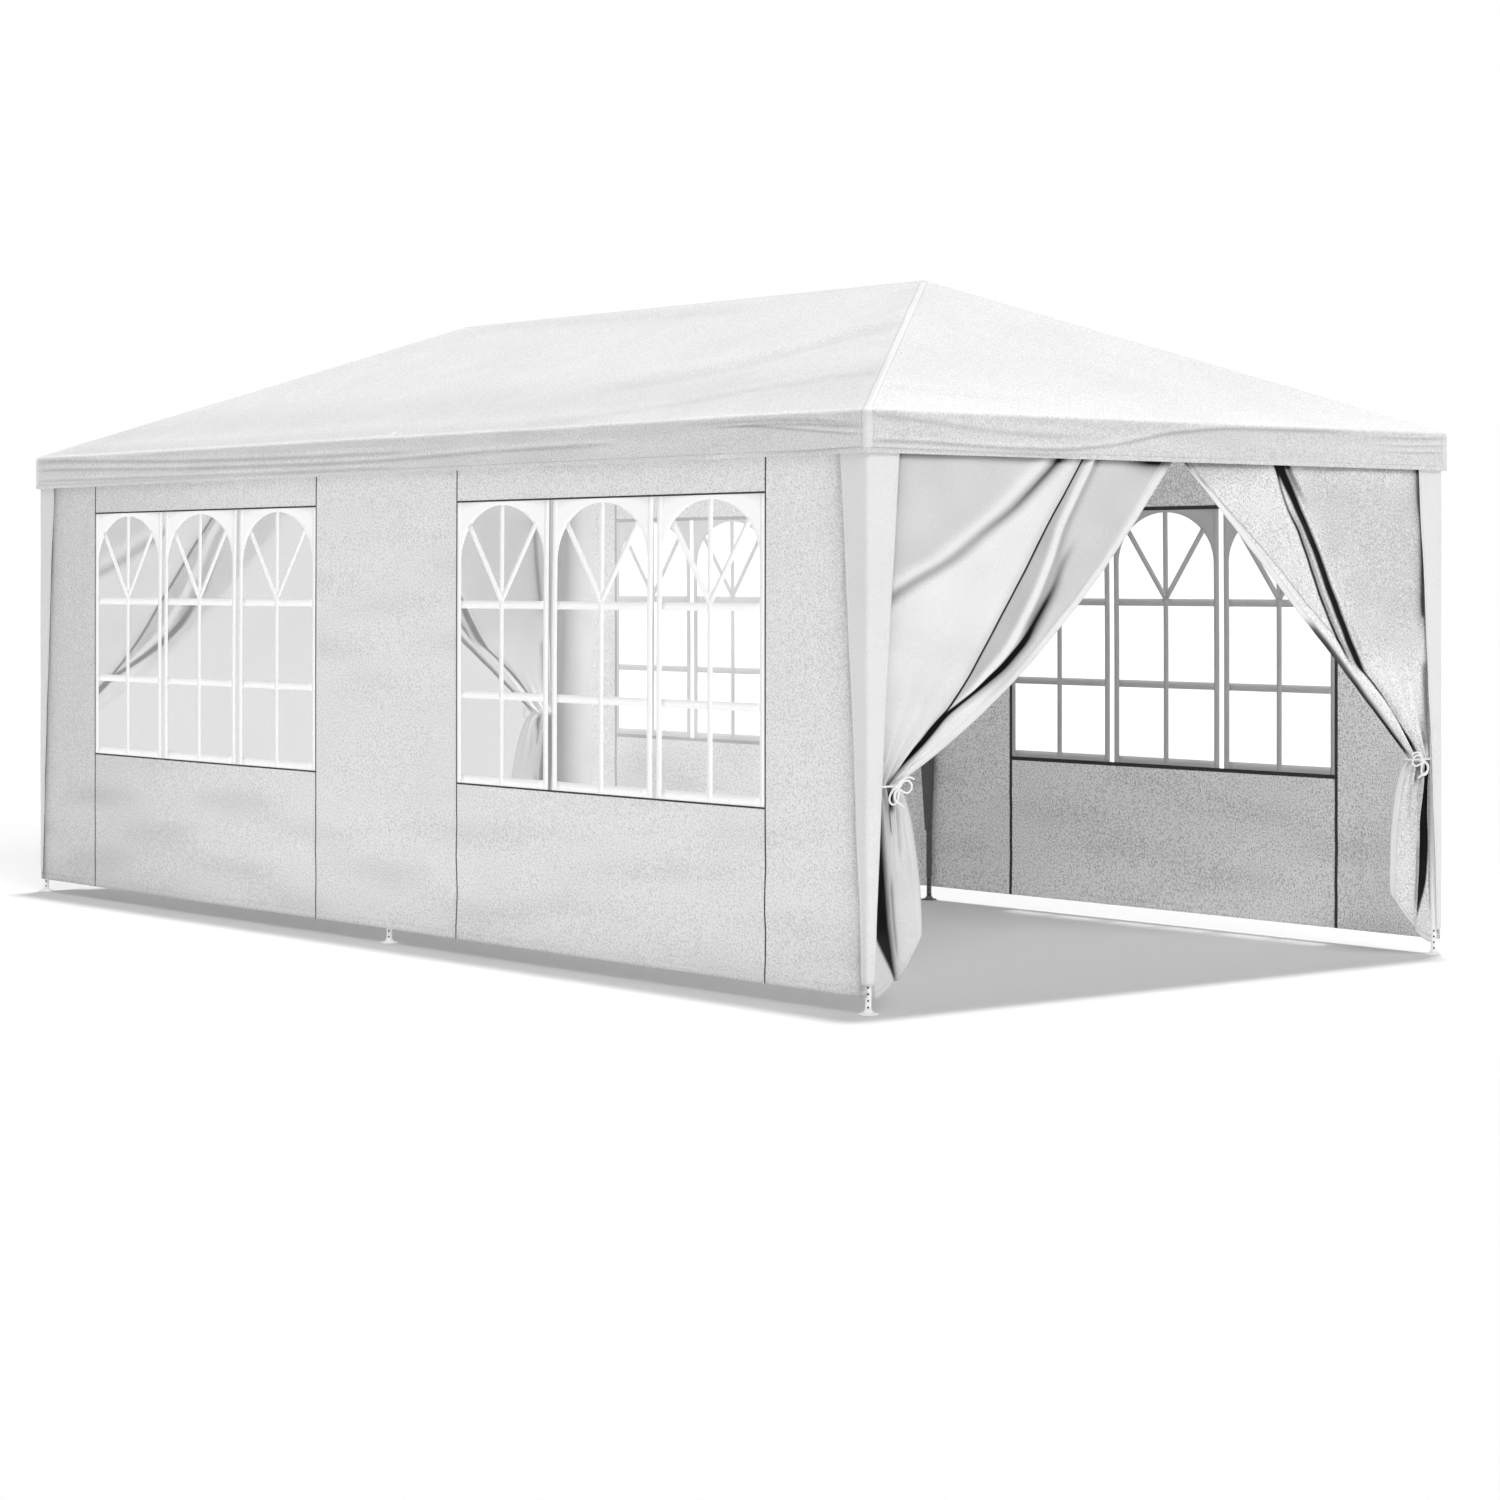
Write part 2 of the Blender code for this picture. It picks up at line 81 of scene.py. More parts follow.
def light_the_sky():
    """A white sky that lights evenly, and that the camera sees as plain white."""
    world = bpy.data.worlds.new("white_sky")
    world.use_nodes = True
    tree = world.node_tree
    tree.nodes.clear()
    lit, seen = (add_step(tree, "ShaderNodeBackground", {"Color": (1, 1, 1, 1), "Strength": strength})
                 for strength in (SKY_STRENGTH, 1.0))
    camera_ray = add_step(tree, "ShaderNodeLightPath")
    sky = add_step(tree, "ShaderNodeMixShader", {0: camera_ray, 1: lit, 2: seen})
    tree.links.new(sky, tree.nodes.new("ShaderNodeOutputWorld").inputs["Surface"])
    bpy.context.scene.world = world


def add_sun(name, strength, turn, size):
    """A sun lamp. Its size is the angle that it fills, which softens its shadows."""
    light = bpy.data.lights.new(name, "SUN")
    light.energy = strength
    light.angle = size
    lamp = bpy.data.objects.new(name, light)
    lamp.location = (0, 0, 10)
    lamp.rotation_euler = turn
    bpy.context.scene.collection.objects.link(lamp)


def paint(name, colour, roughness, glow=0.0, **constant):
    """A material with one Principled shader, to which a piece's pattern is then added."""
    made = bpy.data.materials.new(name)
    made.use_nodes = True
    shader = made.node_tree.nodes["Principled BSDF"]
    constant.update(Base_Color=(*colour, 1.0), Roughness=roughness, Emission_Color=(1, 1, 1, 1),
                    Emission_Strength=glow)
    for socket, value in constant.items():
        shader.inputs[socket.replace("_", " ")].default_value = value
    return made, made.node_tree, shader


def mesh_piece(name, grids, materials, outside, thick=0.0, offset=0.0, keep=None):
    """A mesh over one or more grids of points (rows, columns, 3), each with a UV grid in metres
    and, if shade is painted on the cloth, a grid of tones: painted shade below 1, painted highlight
    above it, 1 where nothing is painted.

    Each cell between four neighbouring points is a face, unless keep, one mask of cells for the
    first grid, leaves it out. The faces are turned so that on the whole they look along outside,
    a direction or one for each point of a grid. Coinciding points become one. A cloth or tube is
    thickened to both sides, or inwards with the offset -1; its inside has the last material."""
    corners, spots, tones, quads, first = [], [], [], [], 0
    for number, (points, uv, *tone) in enumerate(grids):
        rows, columns = points.shape[:2]
        index = np.arange(rows * columns).reshape(rows, columns)
        cells = np.stack([index[:-1, :-1], index[:-1, 1:], index[1:, 1:], index[1:, :-1]], -1)
        cells = (cells[keep] if keep is not None and number == 0 else cells).reshape(-1, 4)
        here = points.reshape(-1, 3)
        look = outside[number] if isinstance(outside, list) else outside
        look = np.broadcast_to(look, points.shape).reshape(-1, 3)
        normals = np.cross(here[cells[:, 2]] - here[cells[:, 0]],
                           here[cells[:, 3]] - here[cells[:, 1]])
        facing = (normals * look[cells[:, 0]]).sum()
        corners.append(here)
        spots.append(uv.reshape(-1, 2))
        tones.append(np.broadcast_to(tone[0] if tone else 1.0, (rows, columns)).ravel())
        quads.append(first + (cells if facing > 0 else cells[:, ::-1]))
        first += rows * columns
    corners, spots, tones, quads = (np.concatenate(part) for part in (corners, spots, tones, quads))
    used, quads = np.unique(quads, return_inverse=True)
    quads = quads.reshape(-1)
    mesh = bpy.data.meshes.new(name)
    mesh.vertices.add(len(used))
    mesh.vertices.foreach_set("co", corners[used].astype(np.float32).ravel())
    mesh.loops.add(len(quads))
    mesh.loops.foreach_set("vertex_index", quads.astype(np.int32))
    mesh.polygons.add(len(quads) // 4)
    mesh.polygons.foreach_set("loop_start", np.arange(0, len(quads), 4, dtype=np.int32))
    mesh.update(calc_edges=True)
    layer = mesh.uv_layers.new(name="metres")
    layer.data.foreach_set("uv", spots[used][quads].astype(np.float32).ravel())
    shade = mesh.attributes.new("tone", "FLOAT", "POINT")
    shade.data.foreach_set("value", tones[used].astype(np.float32))
    merge_doubles(mesh)
    mesh.shade_smooth()
    for material in materials:
        mesh.materials.append(material)
    made = bpy.data.objects.new(name, mesh)
    bpy.context.scene.collection.objects.link(made)
    if thick:
        wall = made.modifiers.new("thickness", "SOLIDIFY")
        wall.thickness = thick
        wall.offset = offset
        wall.use_even_offset = False
        wall.material_offset = len(materials) - 1
    return made


def merge_doubles(mesh):
    """Joins the points that coincide, and drops the faces that this leaves without area."""
    body = bmesh.new()
    body.from_mesh(mesh)
    bmesh.ops.remove_doubles(body, verts=body.verts, dist=2e-6)
    bmesh.ops.dissolve_degenerate(body, edges=body.edges, dist=1e-7)
    body.to_mesh(mesh)
    body.free()


def at(*coordinates):
    """The points with these coordinates, each of which is a grid, a line or one number."""
    return np.stack(np.broadcast_arrays(*coordinates), -1)


def lay_floor():
    """A flat pale floor that reads as white where the light reaches it."""
    material = paint("pale_floor", (0.86, 0.86, 0.86), 0.9, Specular_IOR_Level=0.0)[0]
    line = np.linspace(-FLOOR_HALF, FLOOR_HALF, 3)
    x, y = np.meshgrid(line, line)
    points = at(x, y, -0.001)
    mesh_piece("floor", [(points, points[..., :2])], [material], (0, 0, 1))


light_the_sky()
add_sun("sun", SUN_STRENGTH, SUN_TILT, SUN_ANGLE)
add_sun("fill", FILL_STRENGTH, FILL_TURN, FILL_ANGLE)
lay_floor()


# Tie cords. Each door curtain is held to its corner leg by a soft round white cord, passed round
# the leg and the gathered cloth and tied in a bow: one loop hangs, one stands out towards the
# doorway, and of the two tails one hangs below that loop and one sticks out above it.
# Courses are in millimetres: along the doorway from the leg, outwards from it, and height.
LEG_X, LEG_Y = 1.475, 2.950
SIDES = {"left": -1, "right": 1}
ENDS = {"front": -1, "back": 1}
CORNERS = [(f"{end}_{side}", sx, sy) for end, sy in ENDS.items() for side, sx in SIDES.items()]
TIE_THICK = 0.0068
TIE_BELT = [
    (100, 24.5, 770), (76, 17.5, 770), (50, 16.5, 770), (25, 16, 770), (0, 16, 770),
    (-11.3, 11.3, 770), (-16.2, 0, 770), (-11.4, -11.6, 770), (4, -17.6, 770), (34, -28.5, 770),
    (78, -39, 770), (112, -39.5, 770), (137, -29.8, 770), (147.8, -13, 770), (144, 5, 770),
    (132, 16.5, 770), (118, 21.5, 769.5), (107, 25, 769)]
TIE_BOW = [
    (95.5, 29, 765), (83, 30.5, 756), (73, 30, 742), (70, 28.5, 726), (77, 27.5, 713),
    (90.5, 27, 708.5), (103, 27.5, 715), (109, 29, 729), (109, 31.5, 745), (108.5, 34.5, 760),
    (112.5, 37.5, 774), (123, 39, 784.5), (137.5, 38.5, 788.5), (152.5, 37, 786), (164, 35, 776.5),
    (167, 33.5, 762.5), (159, 32.5, 750.5), (145, 32.5, 746.5), (130, 34.5, 750), (116, 38, 756.5),
    (102, 41, 759.5), (89, 42, 754), (82.5, 41.5, 741.5), (85, 40, 727.5), (95.5, 38, 718),
    (109, 36, 712), (122, 34, 706), (134, 32.5, 698.5)]
TIE_SECOND = [
    (106, 30, 773), (114, 36, 786), (128, 40, 795.5), (145, 40.5, 799.5), (162, 39, 797.5),
    (178, 37, 790)]
KNOT_PLACE, KNOT_SIZE = (104, 30, 766.5), 3.4


def flowing(points, per_span):
    """A smooth line through the points: on each span the cubic whose slope at a point is half the
    step between its two neighbours."""
    p = np.asarray(points, float)
    slope = np.gradient(p, axis=0)
    t = (np.arange(per_span) / per_span)[None, :, None]
    start, end = p[:-1, None], p[1:, None]
    line = (start * (2 * t ** 3 - 3 * t ** 2 + 1) + slope[:-1, None] * (t ** 3 - 2 * t ** 2 + t)
            + end * (3 * t ** 2 - 2 * t ** 3) + slope[1:, None] * (t ** 3 - t ** 2))
    return np.concatenate([line.reshape(-1, 3), p[-1:]])


def unit(vectors):
    """Vectors of length 1 in the same directions."""
    return vectors / np.maximum(np.linalg.norm(vectors, axis=-1, keepdims=True), 1e-12)


def run_along(path):
    """The distance along a path to each of its points."""
    return np.concatenate([[0], np.linalg.norm(np.diff(path, axis=0), axis=1).cumsum()])


def round_cord(path, radius, around=14):
    """A grid round a path: path(i) + radius(i) (cos a N(i) + sin a B(i)), where N and B are square
    to the path. N is square to one fixed direction too, the one that the path keeps clearest of."""
    ahead = unit(np.gradient(path, axis=0))
    tries = unit(np.random.default_rng(3).normal(size=(400, 3)))
    clear = np.abs(ahead @ tries.T).max(0)
    side = unit(np.cross(tries[clear.argmin()], ahead))
    up = np.cross(ahead, side)
    turn = np.linspace(0, 2 * np.pi, around + 1)[None, :, None]
    spokes = np.cos(turn) * side[:, None] + np.sin(turn) * up[:, None]
    points = path[:, None] + np.asarray(radius)[:, None, None] * spokes
    uv = at(run_along(path)[:, None], turn[..., 0] * np.max(radius))
    return points, uv, spokes


def rounded_ends(count, radius, rows=4):
    """A radius for each point of a path, which closes to nothing over the first and last rows."""
    ramp = np.sqrt(1 - (1 - np.arange(rows) / rows) ** 2)
    share = np.ones(count)
    share[:rows], share[-rows:] = ramp, ramp[::-1]
    return radius * share


def at_corner(places, sx, sy):
    """Millimetres from a corner leg as points of the tent."""
    a, b, z = np.moveaxis(np.asarray(places, float) / 1000, -1, 0)
    return at(sx * (LEG_X - a), sy * (LEG_Y + b), z)


def noise(tree, scale, detail=1.0, **more):
    """Noise in the piece's own metres, with about scale patches to the metre."""
    spot = add_step(tree, "ShaderNodeTexCoord", out=3)
    return add_step(tree, "ShaderNodeTexNoise", {"Vector": spot, "Scale": scale, "Detail": detail, **more})


def between(tree, value, low, high, start=0.0, end=1.0):
    """Stretches a value's range from start to end, so that it runs from low to high."""
    return add_step(tree, "ShaderNodeMapRange", {0: value, 1: start, 2: end, 3: low, 4: high})


def math_step(tree, operation, *values):
    """One sum, product or other operation on values."""
    return add_step(tree, "ShaderNodeMath", dict(enumerate(values)), operation=operation)


def grey(tree, tone):
    """The colour whose red, green and blue are all the tone."""
    return add_step(tree, "ShaderNodeCombineColor", {0: tone, 1: tone, 2: tone})


def dress(shader, feeds, strength, distance, height):
    """Joins a pattern to the shader's sockets, and its height in relief to the normal."""
    tree = shader.id_data
    bump = add_step(tree, "ShaderNodeBump", {"Strength": strength, "Distance": distance,
                                             "Height": height})
    for socket, value in {**feeds, "Normal": bump}.items():
        tree.links.new(value, shader.inputs[socket])


def cord_finish():
    """Soft spun cord: strands wind round it as slanting stripes in length and girth. Its faint
    glow is painted light that keeps it bright.
    """
    material, tree, shader = paint("tie_cord_painted_glow", (0.97, 0.97, 0.965), 0.7, glow=0.14, Sheen_Weight=0.3)
    spot = add_step(tree, "ShaderNodeUVMap", uv_map="metres")
    stripes = add_step(tree, "ShaderNodeTexWave", {"Vector": spot, "Scale": 150.0, "Distortion": 0.6,
                       "Detail": 1.0}, bands_direction="DIAGONAL")
    dress(shader, {"Base Color": grey(tree, between(tree, stripes, 0.88, 0.99))},
          0.5, 0.0006, math_step(tree, "ADD", stripes, noise(tree, 900.0, 2.0)))
    return material


def tie_knot(sx, sy):
    """A trefoil: (sin t + 2 sin 2t, -1.1 sin 3t, cos t - 2 cos 2t) about the middle of the bow."""
    t = np.linspace(0, 2 * np.pi, 97)
    line = at(np.sin(t) + 2 * np.sin(2 * t), -1.1 * np.sin(3 * t), np.cos(t) - 2 * np.cos(2 * t))
    return at_corner(KNOT_SIZE * line + np.array(KNOT_PLACE), sx, sy)


cord_material = cord_finish()
for place, sx, sy in CORNERS:
    knot_path = tie_knot(sx, sy)
    points, uv, spokes = round_cord(knot_path, np.full(len(knot_path), TIE_THICK / 2))
    points[-1] = points[0]
    knot = mesh_piece(f"tie_knot_{place}", [(points, uv)], [cord_material], spokes)
    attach(knot, "tent")
    for name, course in (("tie_bow", TIE_BELT + TIE_BOW), ("tie_tail", TIE_SECOND)):
        path = at_corner(flowing(course, 8), sx, sy)
        points, uv, spokes = round_cord(path, rounded_ends(len(path), TIE_THICK / 2))
        made = mesh_piece(f"{name}_{place}", [(points, uv)], [cord_material], spokes)
        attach(made, "tent")
        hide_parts(f"tie_{place}")
        float(run_along(path)[-1])


# Adjustable feet. Each is a powder-coated steel tube with a row of pin holes through it, welded to
# a round pressed plate with a raised flare. It slides in the leg, so it rides on its own body.
FOOT_RADIUS = 0.0110
FOOT_WALL = 0.0015
FOOT_TOP = 0.360
PLATE = [(0.0, 0.0), (0.0335, 0.0), (0.0350, 0.0012), (0.0350, 0.0030), (0.0338, 0.0040),
         (0.0290, 0.0046), (0.0230, 0.0056), (0.0188, 0.0078), (0.0160, 0.0112), (0.0136, 0.0152),
         (0.0117, 0.0182), (0.0110, 0.0186)]
HOLE_RADIUS = 0.0040
HOLE_FIRST, HOLE_STEP, HOLE_COUNT = 0.0255, 0.0225, 8
# The tube's grid: cells round it, cells from a hole's middle to its patch's edge, the column that
# the holes are on, and the plain rows above them, which no hole reaches
FOOT_COLUMNS, HOLE_REACH, HOLE_COLUMN = 48, 3, 30
PLAIN_ROWS, PLAIN_GAP, NO_HOLE = 6, 0.02, 99
COAT_WHITE = (0.95, 0.95, 0.945)
COAT_PAINTED_SHADE = (0.13, 0.13, 0.132)
BORE_PAINTED_SHADE = (0.02, 0.02, 0.021)
RAIL_RADIUS = 0.0125


def turned(profile, start, direction, around=32):
    """A surface of revolution: start + h D + r (cos a N + sin a B) over the profile's (r, h)."""
    profile = np.asarray(profile, float)
    heading = unit(np.asarray(direction, float))
    side = unit(np.cross(heading, (0.31, 0.83, 0.46) if abs(heading[2]) < 0.9 else (1.0, 0.0, 0.0)))
    up = np.cross(heading, side)
    turn = np.linspace(0, 2 * np.pi, around + 1)[None, :, None]
    spokes = np.cos(turn) * side + np.sin(turn) * up
    r, h = profile[:, 0][:, None, None], profile[:, 1][:, None, None]
    points = np.asarray(start, float) + h * heading + r * spokes
    uv = at(turn[..., 0] * RAIL_RADIUS, run_along(profile)[:, None])
    step = np.gradient(profile, axis=0)
    look = -step[:, 0][:, None, None] * heading + step[:, 1][:, None, None] * spokes
    return points, uv, look


def toned(tree, colour, tone):
    """The colour, made lighter or darker by a factor."""
    return add_step(tree, "ShaderNodeVectorMath", {0: colour, "Scale": tone}, operation="SCALE")


def coat_finish(name, colour, glow=0.0):
    """Powder coat on steel: fine orange peel, faint unevenness of tone, and a soft gloss. A glow,
    if given, is painted light that brightens it.
    """
    material, tree, shader = paint(name, colour, 0.38, glow, Coat_Weight=0.15, Coat_Roughness=0.25)
    cloud = noise(tree, 9.0, 3.0)
    dress(shader, {"Base Color": toned(tree, colour, between(tree, cloud, 0.94, 1.06)),
                   "Roughness": between(tree, cloud, 0.32, 0.48)}, 0.12, 0.0004, noise(tree, 650.0))
    return material


def foot_tube(x, y):
    """The tube, r (cos a, sin a) over height, on a grid of even cells. Round each pin hole a patch
    of six by six cells has its second ring of points drawn to the hole's edge; the cells inside
    that ring are left out."""
    pitch = 2 * np.pi * FOOT_RADIUS / FOOT_COLUMNS
    steps = np.arange(-HOLE_REACH, HOLE_REACH + 1) * pitch
    centres = HOLE_FIRST + HOLE_STEP * np.arange(HOLE_COUNT)
    lines = np.concatenate([[PLATE[-1][1]], (centres[:, None] + steps).ravel(),
                            np.linspace(centres[-1] + PLAIN_GAP, FOOT_TOP, PLAIN_ROWS)])
    up = np.concatenate([[NO_HOLE], np.tile(np.arange(-HOLE_REACH, HOLE_REACH + 1), HOLE_COUNT),
                         np.full(PLAIN_ROWS, NO_HOLE)])
    middle = np.concatenate([[0.0], np.repeat(centres, len(steps)), np.zeros(PLAIN_ROWS)])
    column = np.arange(FOOT_COLUMNS + 1)
    across = (column - HOLE_COLUMN + FOOT_COLUMNS // 2) % FOOT_COLUMNS - FOOT_COLUMNS // 2
    up, across = np.broadcast_arrays(up[:, None], across[None, :])
    ring = np.maximum(np.abs(up), np.abs(across))
    bearing = np.arctan2(up, across)
    arc = np.broadcast_to(column * pitch, ring.shape).copy()
    z = np.broadcast_to(lines[:, None], ring.shape).copy()
    edge = ring == HOLE_REACH - 1
    arc[edge] += HOLE_RADIUS * np.cos(bearing[edge]) - across[edge] * pitch
    z[edge] = (np.broadcast_to(middle[:, None], ring.shape)[edge]
               + HOLE_RADIUS * np.sin(bearing[edge]))
    turn = arc / FOOT_RADIUS
    spokes = at(np.cos(turn), np.sin(turn), 0)
    points = at(x, y, z) + FOOT_RADIUS * spokes
    inside = ring < HOLE_REACH
    hole = inside[:-1, :-1] & inside[1:, :-1] & inside[:-1, 1:] & inside[1:, 1:]
    return points, at(arc, z), spokes, ~hole


LEG_PLACES = {place: (sx * LEG_X, sy * LEG_Y) for place, sx, sy in CORNERS}
LEG_PLACES.update({f"middle_{side}": (sx * LEG_X, 0.0) for side, sx in SIDES.items()})
# The white coat on legs, feet and frame has a faint painted glow that keeps it bright white.
white_coat_painted_glow = coat_finish("white_powder_coat_painted_glow", COAT_WHITE, 0.16)
leg_coats = dict.fromkeys(LEG_PLACES, white_coat_painted_glow)
# The right middle leg and its foot get painted shade: a dark grey coat for the shade they stand in.
leg_coats["middle_right"] = coat_finish("dark_powder_coat", COAT_PAINTED_SHADE)
# The foot tubes' insides are painted near black as shade, so that the pin holes look dark.
bore_painted_shade = coat_finish("foot_bore_painted_shade", BORE_PAINTED_SHADE)
for place, (x, y) in LEG_PLACES.items():
    coat = leg_coats[place]
    points, uv, spokes, whole = foot_tube(x, y)
    tube = mesh_piece(f"foot_tube_{place}", [(points, uv)], [coat, bore_painted_shade], spokes, FOOT_WALL,
                      offset=-1.0, keep=whole)
    points, uv, look = turned(PLATE, (x, y, 0), (0, 0, 1), 48)
    plate = mesh_piece(f"foot_plate_{place}", [(points, uv)], [coat], look)
    for piece in (tube, plate):
        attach(piece, f"foot_{place}")
        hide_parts(f"foot_{place}")


# Legs and roof frame. Round steel tubes, powder coated, push into moulded plastic joints: one on
# each leg takes two rails, a rafter and the leg, one on each peak takes two rafters and the ridge,
# and one at the ridge's middle takes four tubes. Each joint arm has a raised lip at its mouth.
LEG_RADIUS, LEG_BORE, LEG_BOTTOM, LEG_LENGTH, BORE_DEPTH = 0.0130, 0.0115, 0.105, 1.930, 0.30
EDGE_IN, EDGE_UP = 0.0003, 0.0005
TUBE_START = 0.040
JOIN_DEPTH, JOIN_FLOOR_HALF, JOIN_HALF = 0.0006, 0.0004, 0.0010
# A joint's arm and the one over its leg: radius and length. The sleeve, lip and ball are shares of
# the radius
ARM = (0.0165, 0.095)
LEG_ARM = (0.0175, 0.085)
SLEEVE_SHARE, LIP_SHARE, BALL_SHARE = 0.98, 1.07, 1.04
LIP_LONG, LIP_RISE, LIP_FALL, MOUTH_DEPTH = 0.010, 0.0015, 0.0012, 0.006
RIDGE_HALF = 1.600
EAVE_JOINT_Z = sum(corner.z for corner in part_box("front_rail")) / 2
PEAK_JOINT_Z = sum(corner.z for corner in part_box("ridge_pole_front")) / 2


def plastic_finish():
    """Moulded white plastic: a faint satin texture and slightly uneven gloss."""
    material, tree, shader = paint("moulded_plastic", (0.84, 0.84, 0.83), 0.5)
    dress(shader, {"Roughness": between(tree, noise(tree, 30.0, 2.0), 0.42, 0.6)},
          0.15, 0.0003, noise(tree, 1200.0, 2.0))
    return material


def socket_arm(radius, length):
    """Profile of a joint's arm: plain sleeve, then a raised lip that turns in to the tube."""
    sleeve, lip, start = radius * SLEEVE_SHARE, radius * LIP_SHARE, length - LIP_LONG
    return [(sleeve, 0.0), (sleeve, start), (lip, start + LIP_RISE), (lip, length - LIP_FALL),
            (radius, length), (RAIL_RADIUS, length), (RAIL_RADIUS, length - MOUTH_DEPTH)]


def hub_ball(centre, radius):
    """A ball: radius (cos b cos a, cos b sin a, sin b)."""
    rise = np.linspace(-np.pi / 2, np.pi / 2, 17)
    return turned(at(radius * np.cos(rise), radius * np.sin(rise)), centre, (0, 0, 1))


def joint_piece(name, centre, arms, sizes):
    """A moulded joint: a ball, and an arm towards each of its tubes."""
    grids = [hub_ball(centre, ARM[0] * BALL_SHARE)]
    grids += [turned(socket_arm(*size), centre, arm) for arm, size in zip(arms, sizes)]
    made = mesh_piece(name, [(p, uv) for p, uv, look in grids], [plastic],
                      [look for p, uv, look in grids])
    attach(made, "tent")
    return made


def frame_tube(name, start, end):
    """A rail or rafter between two joints, with a shallow step where its two halves join."""
    long = np.linalg.norm(end - start)
    half = long / 2 - TUBE_START
    r = RAIL_RADIUS
    profile = [(r, 0.0), (r, half - JOIN_HALF), (r - JOIN_DEPTH, half - JOIN_FLOOR_HALF),
               (r - JOIN_DEPTH, half + JOIN_FLOOR_HALF), (r, half + JOIN_HALF), (r, 2 * half)]
    points, uv, look = turned(profile, start + (end - start) / long * TUBE_START, end - start, 24)
    made = mesh_piece(f"tube_{name}", [(points, uv)], [white_coat_painted_glow], look)
    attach(made, "tent")
    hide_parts(name)


plastic = plastic_finish()
tops = {place: np.array([x, y, EAVE_JOINT_Z]) for place, (x, y) in LEG_PLACES.items()}
peaks = {end: np.array([0, sy * RIDGE_HALF, PEAK_JOINT_Z]) for end, sy in ENDS.items()}
crown = np.array([0, 0, PEAK_JOINT_Z])
for place, (x, y) in LEG_PLACES.items():
    profile = [(LEG_BORE, BORE_DEPTH), (LEG_BORE, EDGE_UP), (LEG_BORE + EDGE_IN, 0.0),
               (LEG_RADIUS - EDGE_IN, 0.0), (LEG_RADIUS, EDGE_UP), (LEG_RADIUS, LEG_LENGTH)]
    points, uv, look = turned(profile, (x, y, LEG_BOTTOM), (0, 0, 1))
    leg = mesh_piece(f"tube_leg_{place}", [(points, uv)], [leg_coats[place]], -look)
    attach(leg, "tent")
    if place.startswith("middle"):
        arms = [(0, -1, 0), (0, 1, 0), crown - tops[place], (0, 0, -1)]
    else:
        arms = [(-x, 0, 0), (0, -y, 0), peaks[place.split("_")[0]] - tops[place], (0, 0, -1)]
    joint = joint_piece(f"joint_{place}", tops[place], arms, [ARM] * 3 + [LEG_ARM])
    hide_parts(f"leg_{place}")
    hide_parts(f"leg_{place}")
for end, sy in ENDS.items():
    reaches = [tops[f"{end}_{side}"] - peaks[end] for side in SIDES]
    joint = joint_piece(f"joint_peak_{end}", peaks[end], reaches + [(0, -sy, 0)], [ARM] * 3)
    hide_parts(f"peak_joint_{end}")
    frame_tube(f"{end}_rail", tops[f"{end}_left"], tops[f"{end}_right"])
    frame_tube(f"ridge_pole_{end}", crown, peaks[end])
    for side in SIDES:
        frame_tube(f"{end}_{side}_rafter", tops[f"{end}_{side}"], peaks[end])
        frame_tube(f"{side}_rail_{end}", tops[f"{end}_{side}"], tops[f"middle_{side}"])
reaches = [tops[f"middle_{side}"] - crown for side in SIDES]
joint = joint_piece("joint_ridge", crown, reaches + [(0, -1, 0), (0, 1, 0)], [ARM] * 4)
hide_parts("ridge_joint")
for side in SIDES:
    frame_tube(f"middle_{side}_rafter", tops[f"middle_{side}"], crown)


# Roof cover and valance. One sewn cover of woven white polythene cloth is pulled over the frame: it
# dips a little between the rafters, rolls softly over the eave and hangs as a creased valance.
# Lighter binding tape covers the four hips and a folded hem runs round the bottom.
ROOF_X, ROOF_Y = 1.5135, 2.9885
ROOF_EAVE, ROOF_PEAK, VALANCE_HEM = 2.0485, 2.6585, 1.9005
EAVE_ROLL = 0.020
HIP_ROUND, EAVE_ROUND_MORE = 0.004, 0.008
SLOPE = np.arctan((ROOF_PEAK - ROOF_EAVE) / ROOF_X)
ROLL_Z = ROOF_EAVE + EAVE_ROLL * (np.tan(SLOPE) - 1 / np.cos(SLOPE))
BINDING_HALF = 0.0175
CLOTH_THICK, TAPE_THICK = 0.0012, 0.0026
SAG = 0.013
CLOTH_WHITE = (0.81, 0.81, 0.808)
FOLD_PAINTED_SHADE = 1.15
SLOPE_ROWS, ROLL_ROWS, VALANCE_ROWS = 36, 8, 30
HEM_ROWS = 4
LONG_COLUMNS, END_COLUMNS = 200, 110
NO_TAPE = 9.0
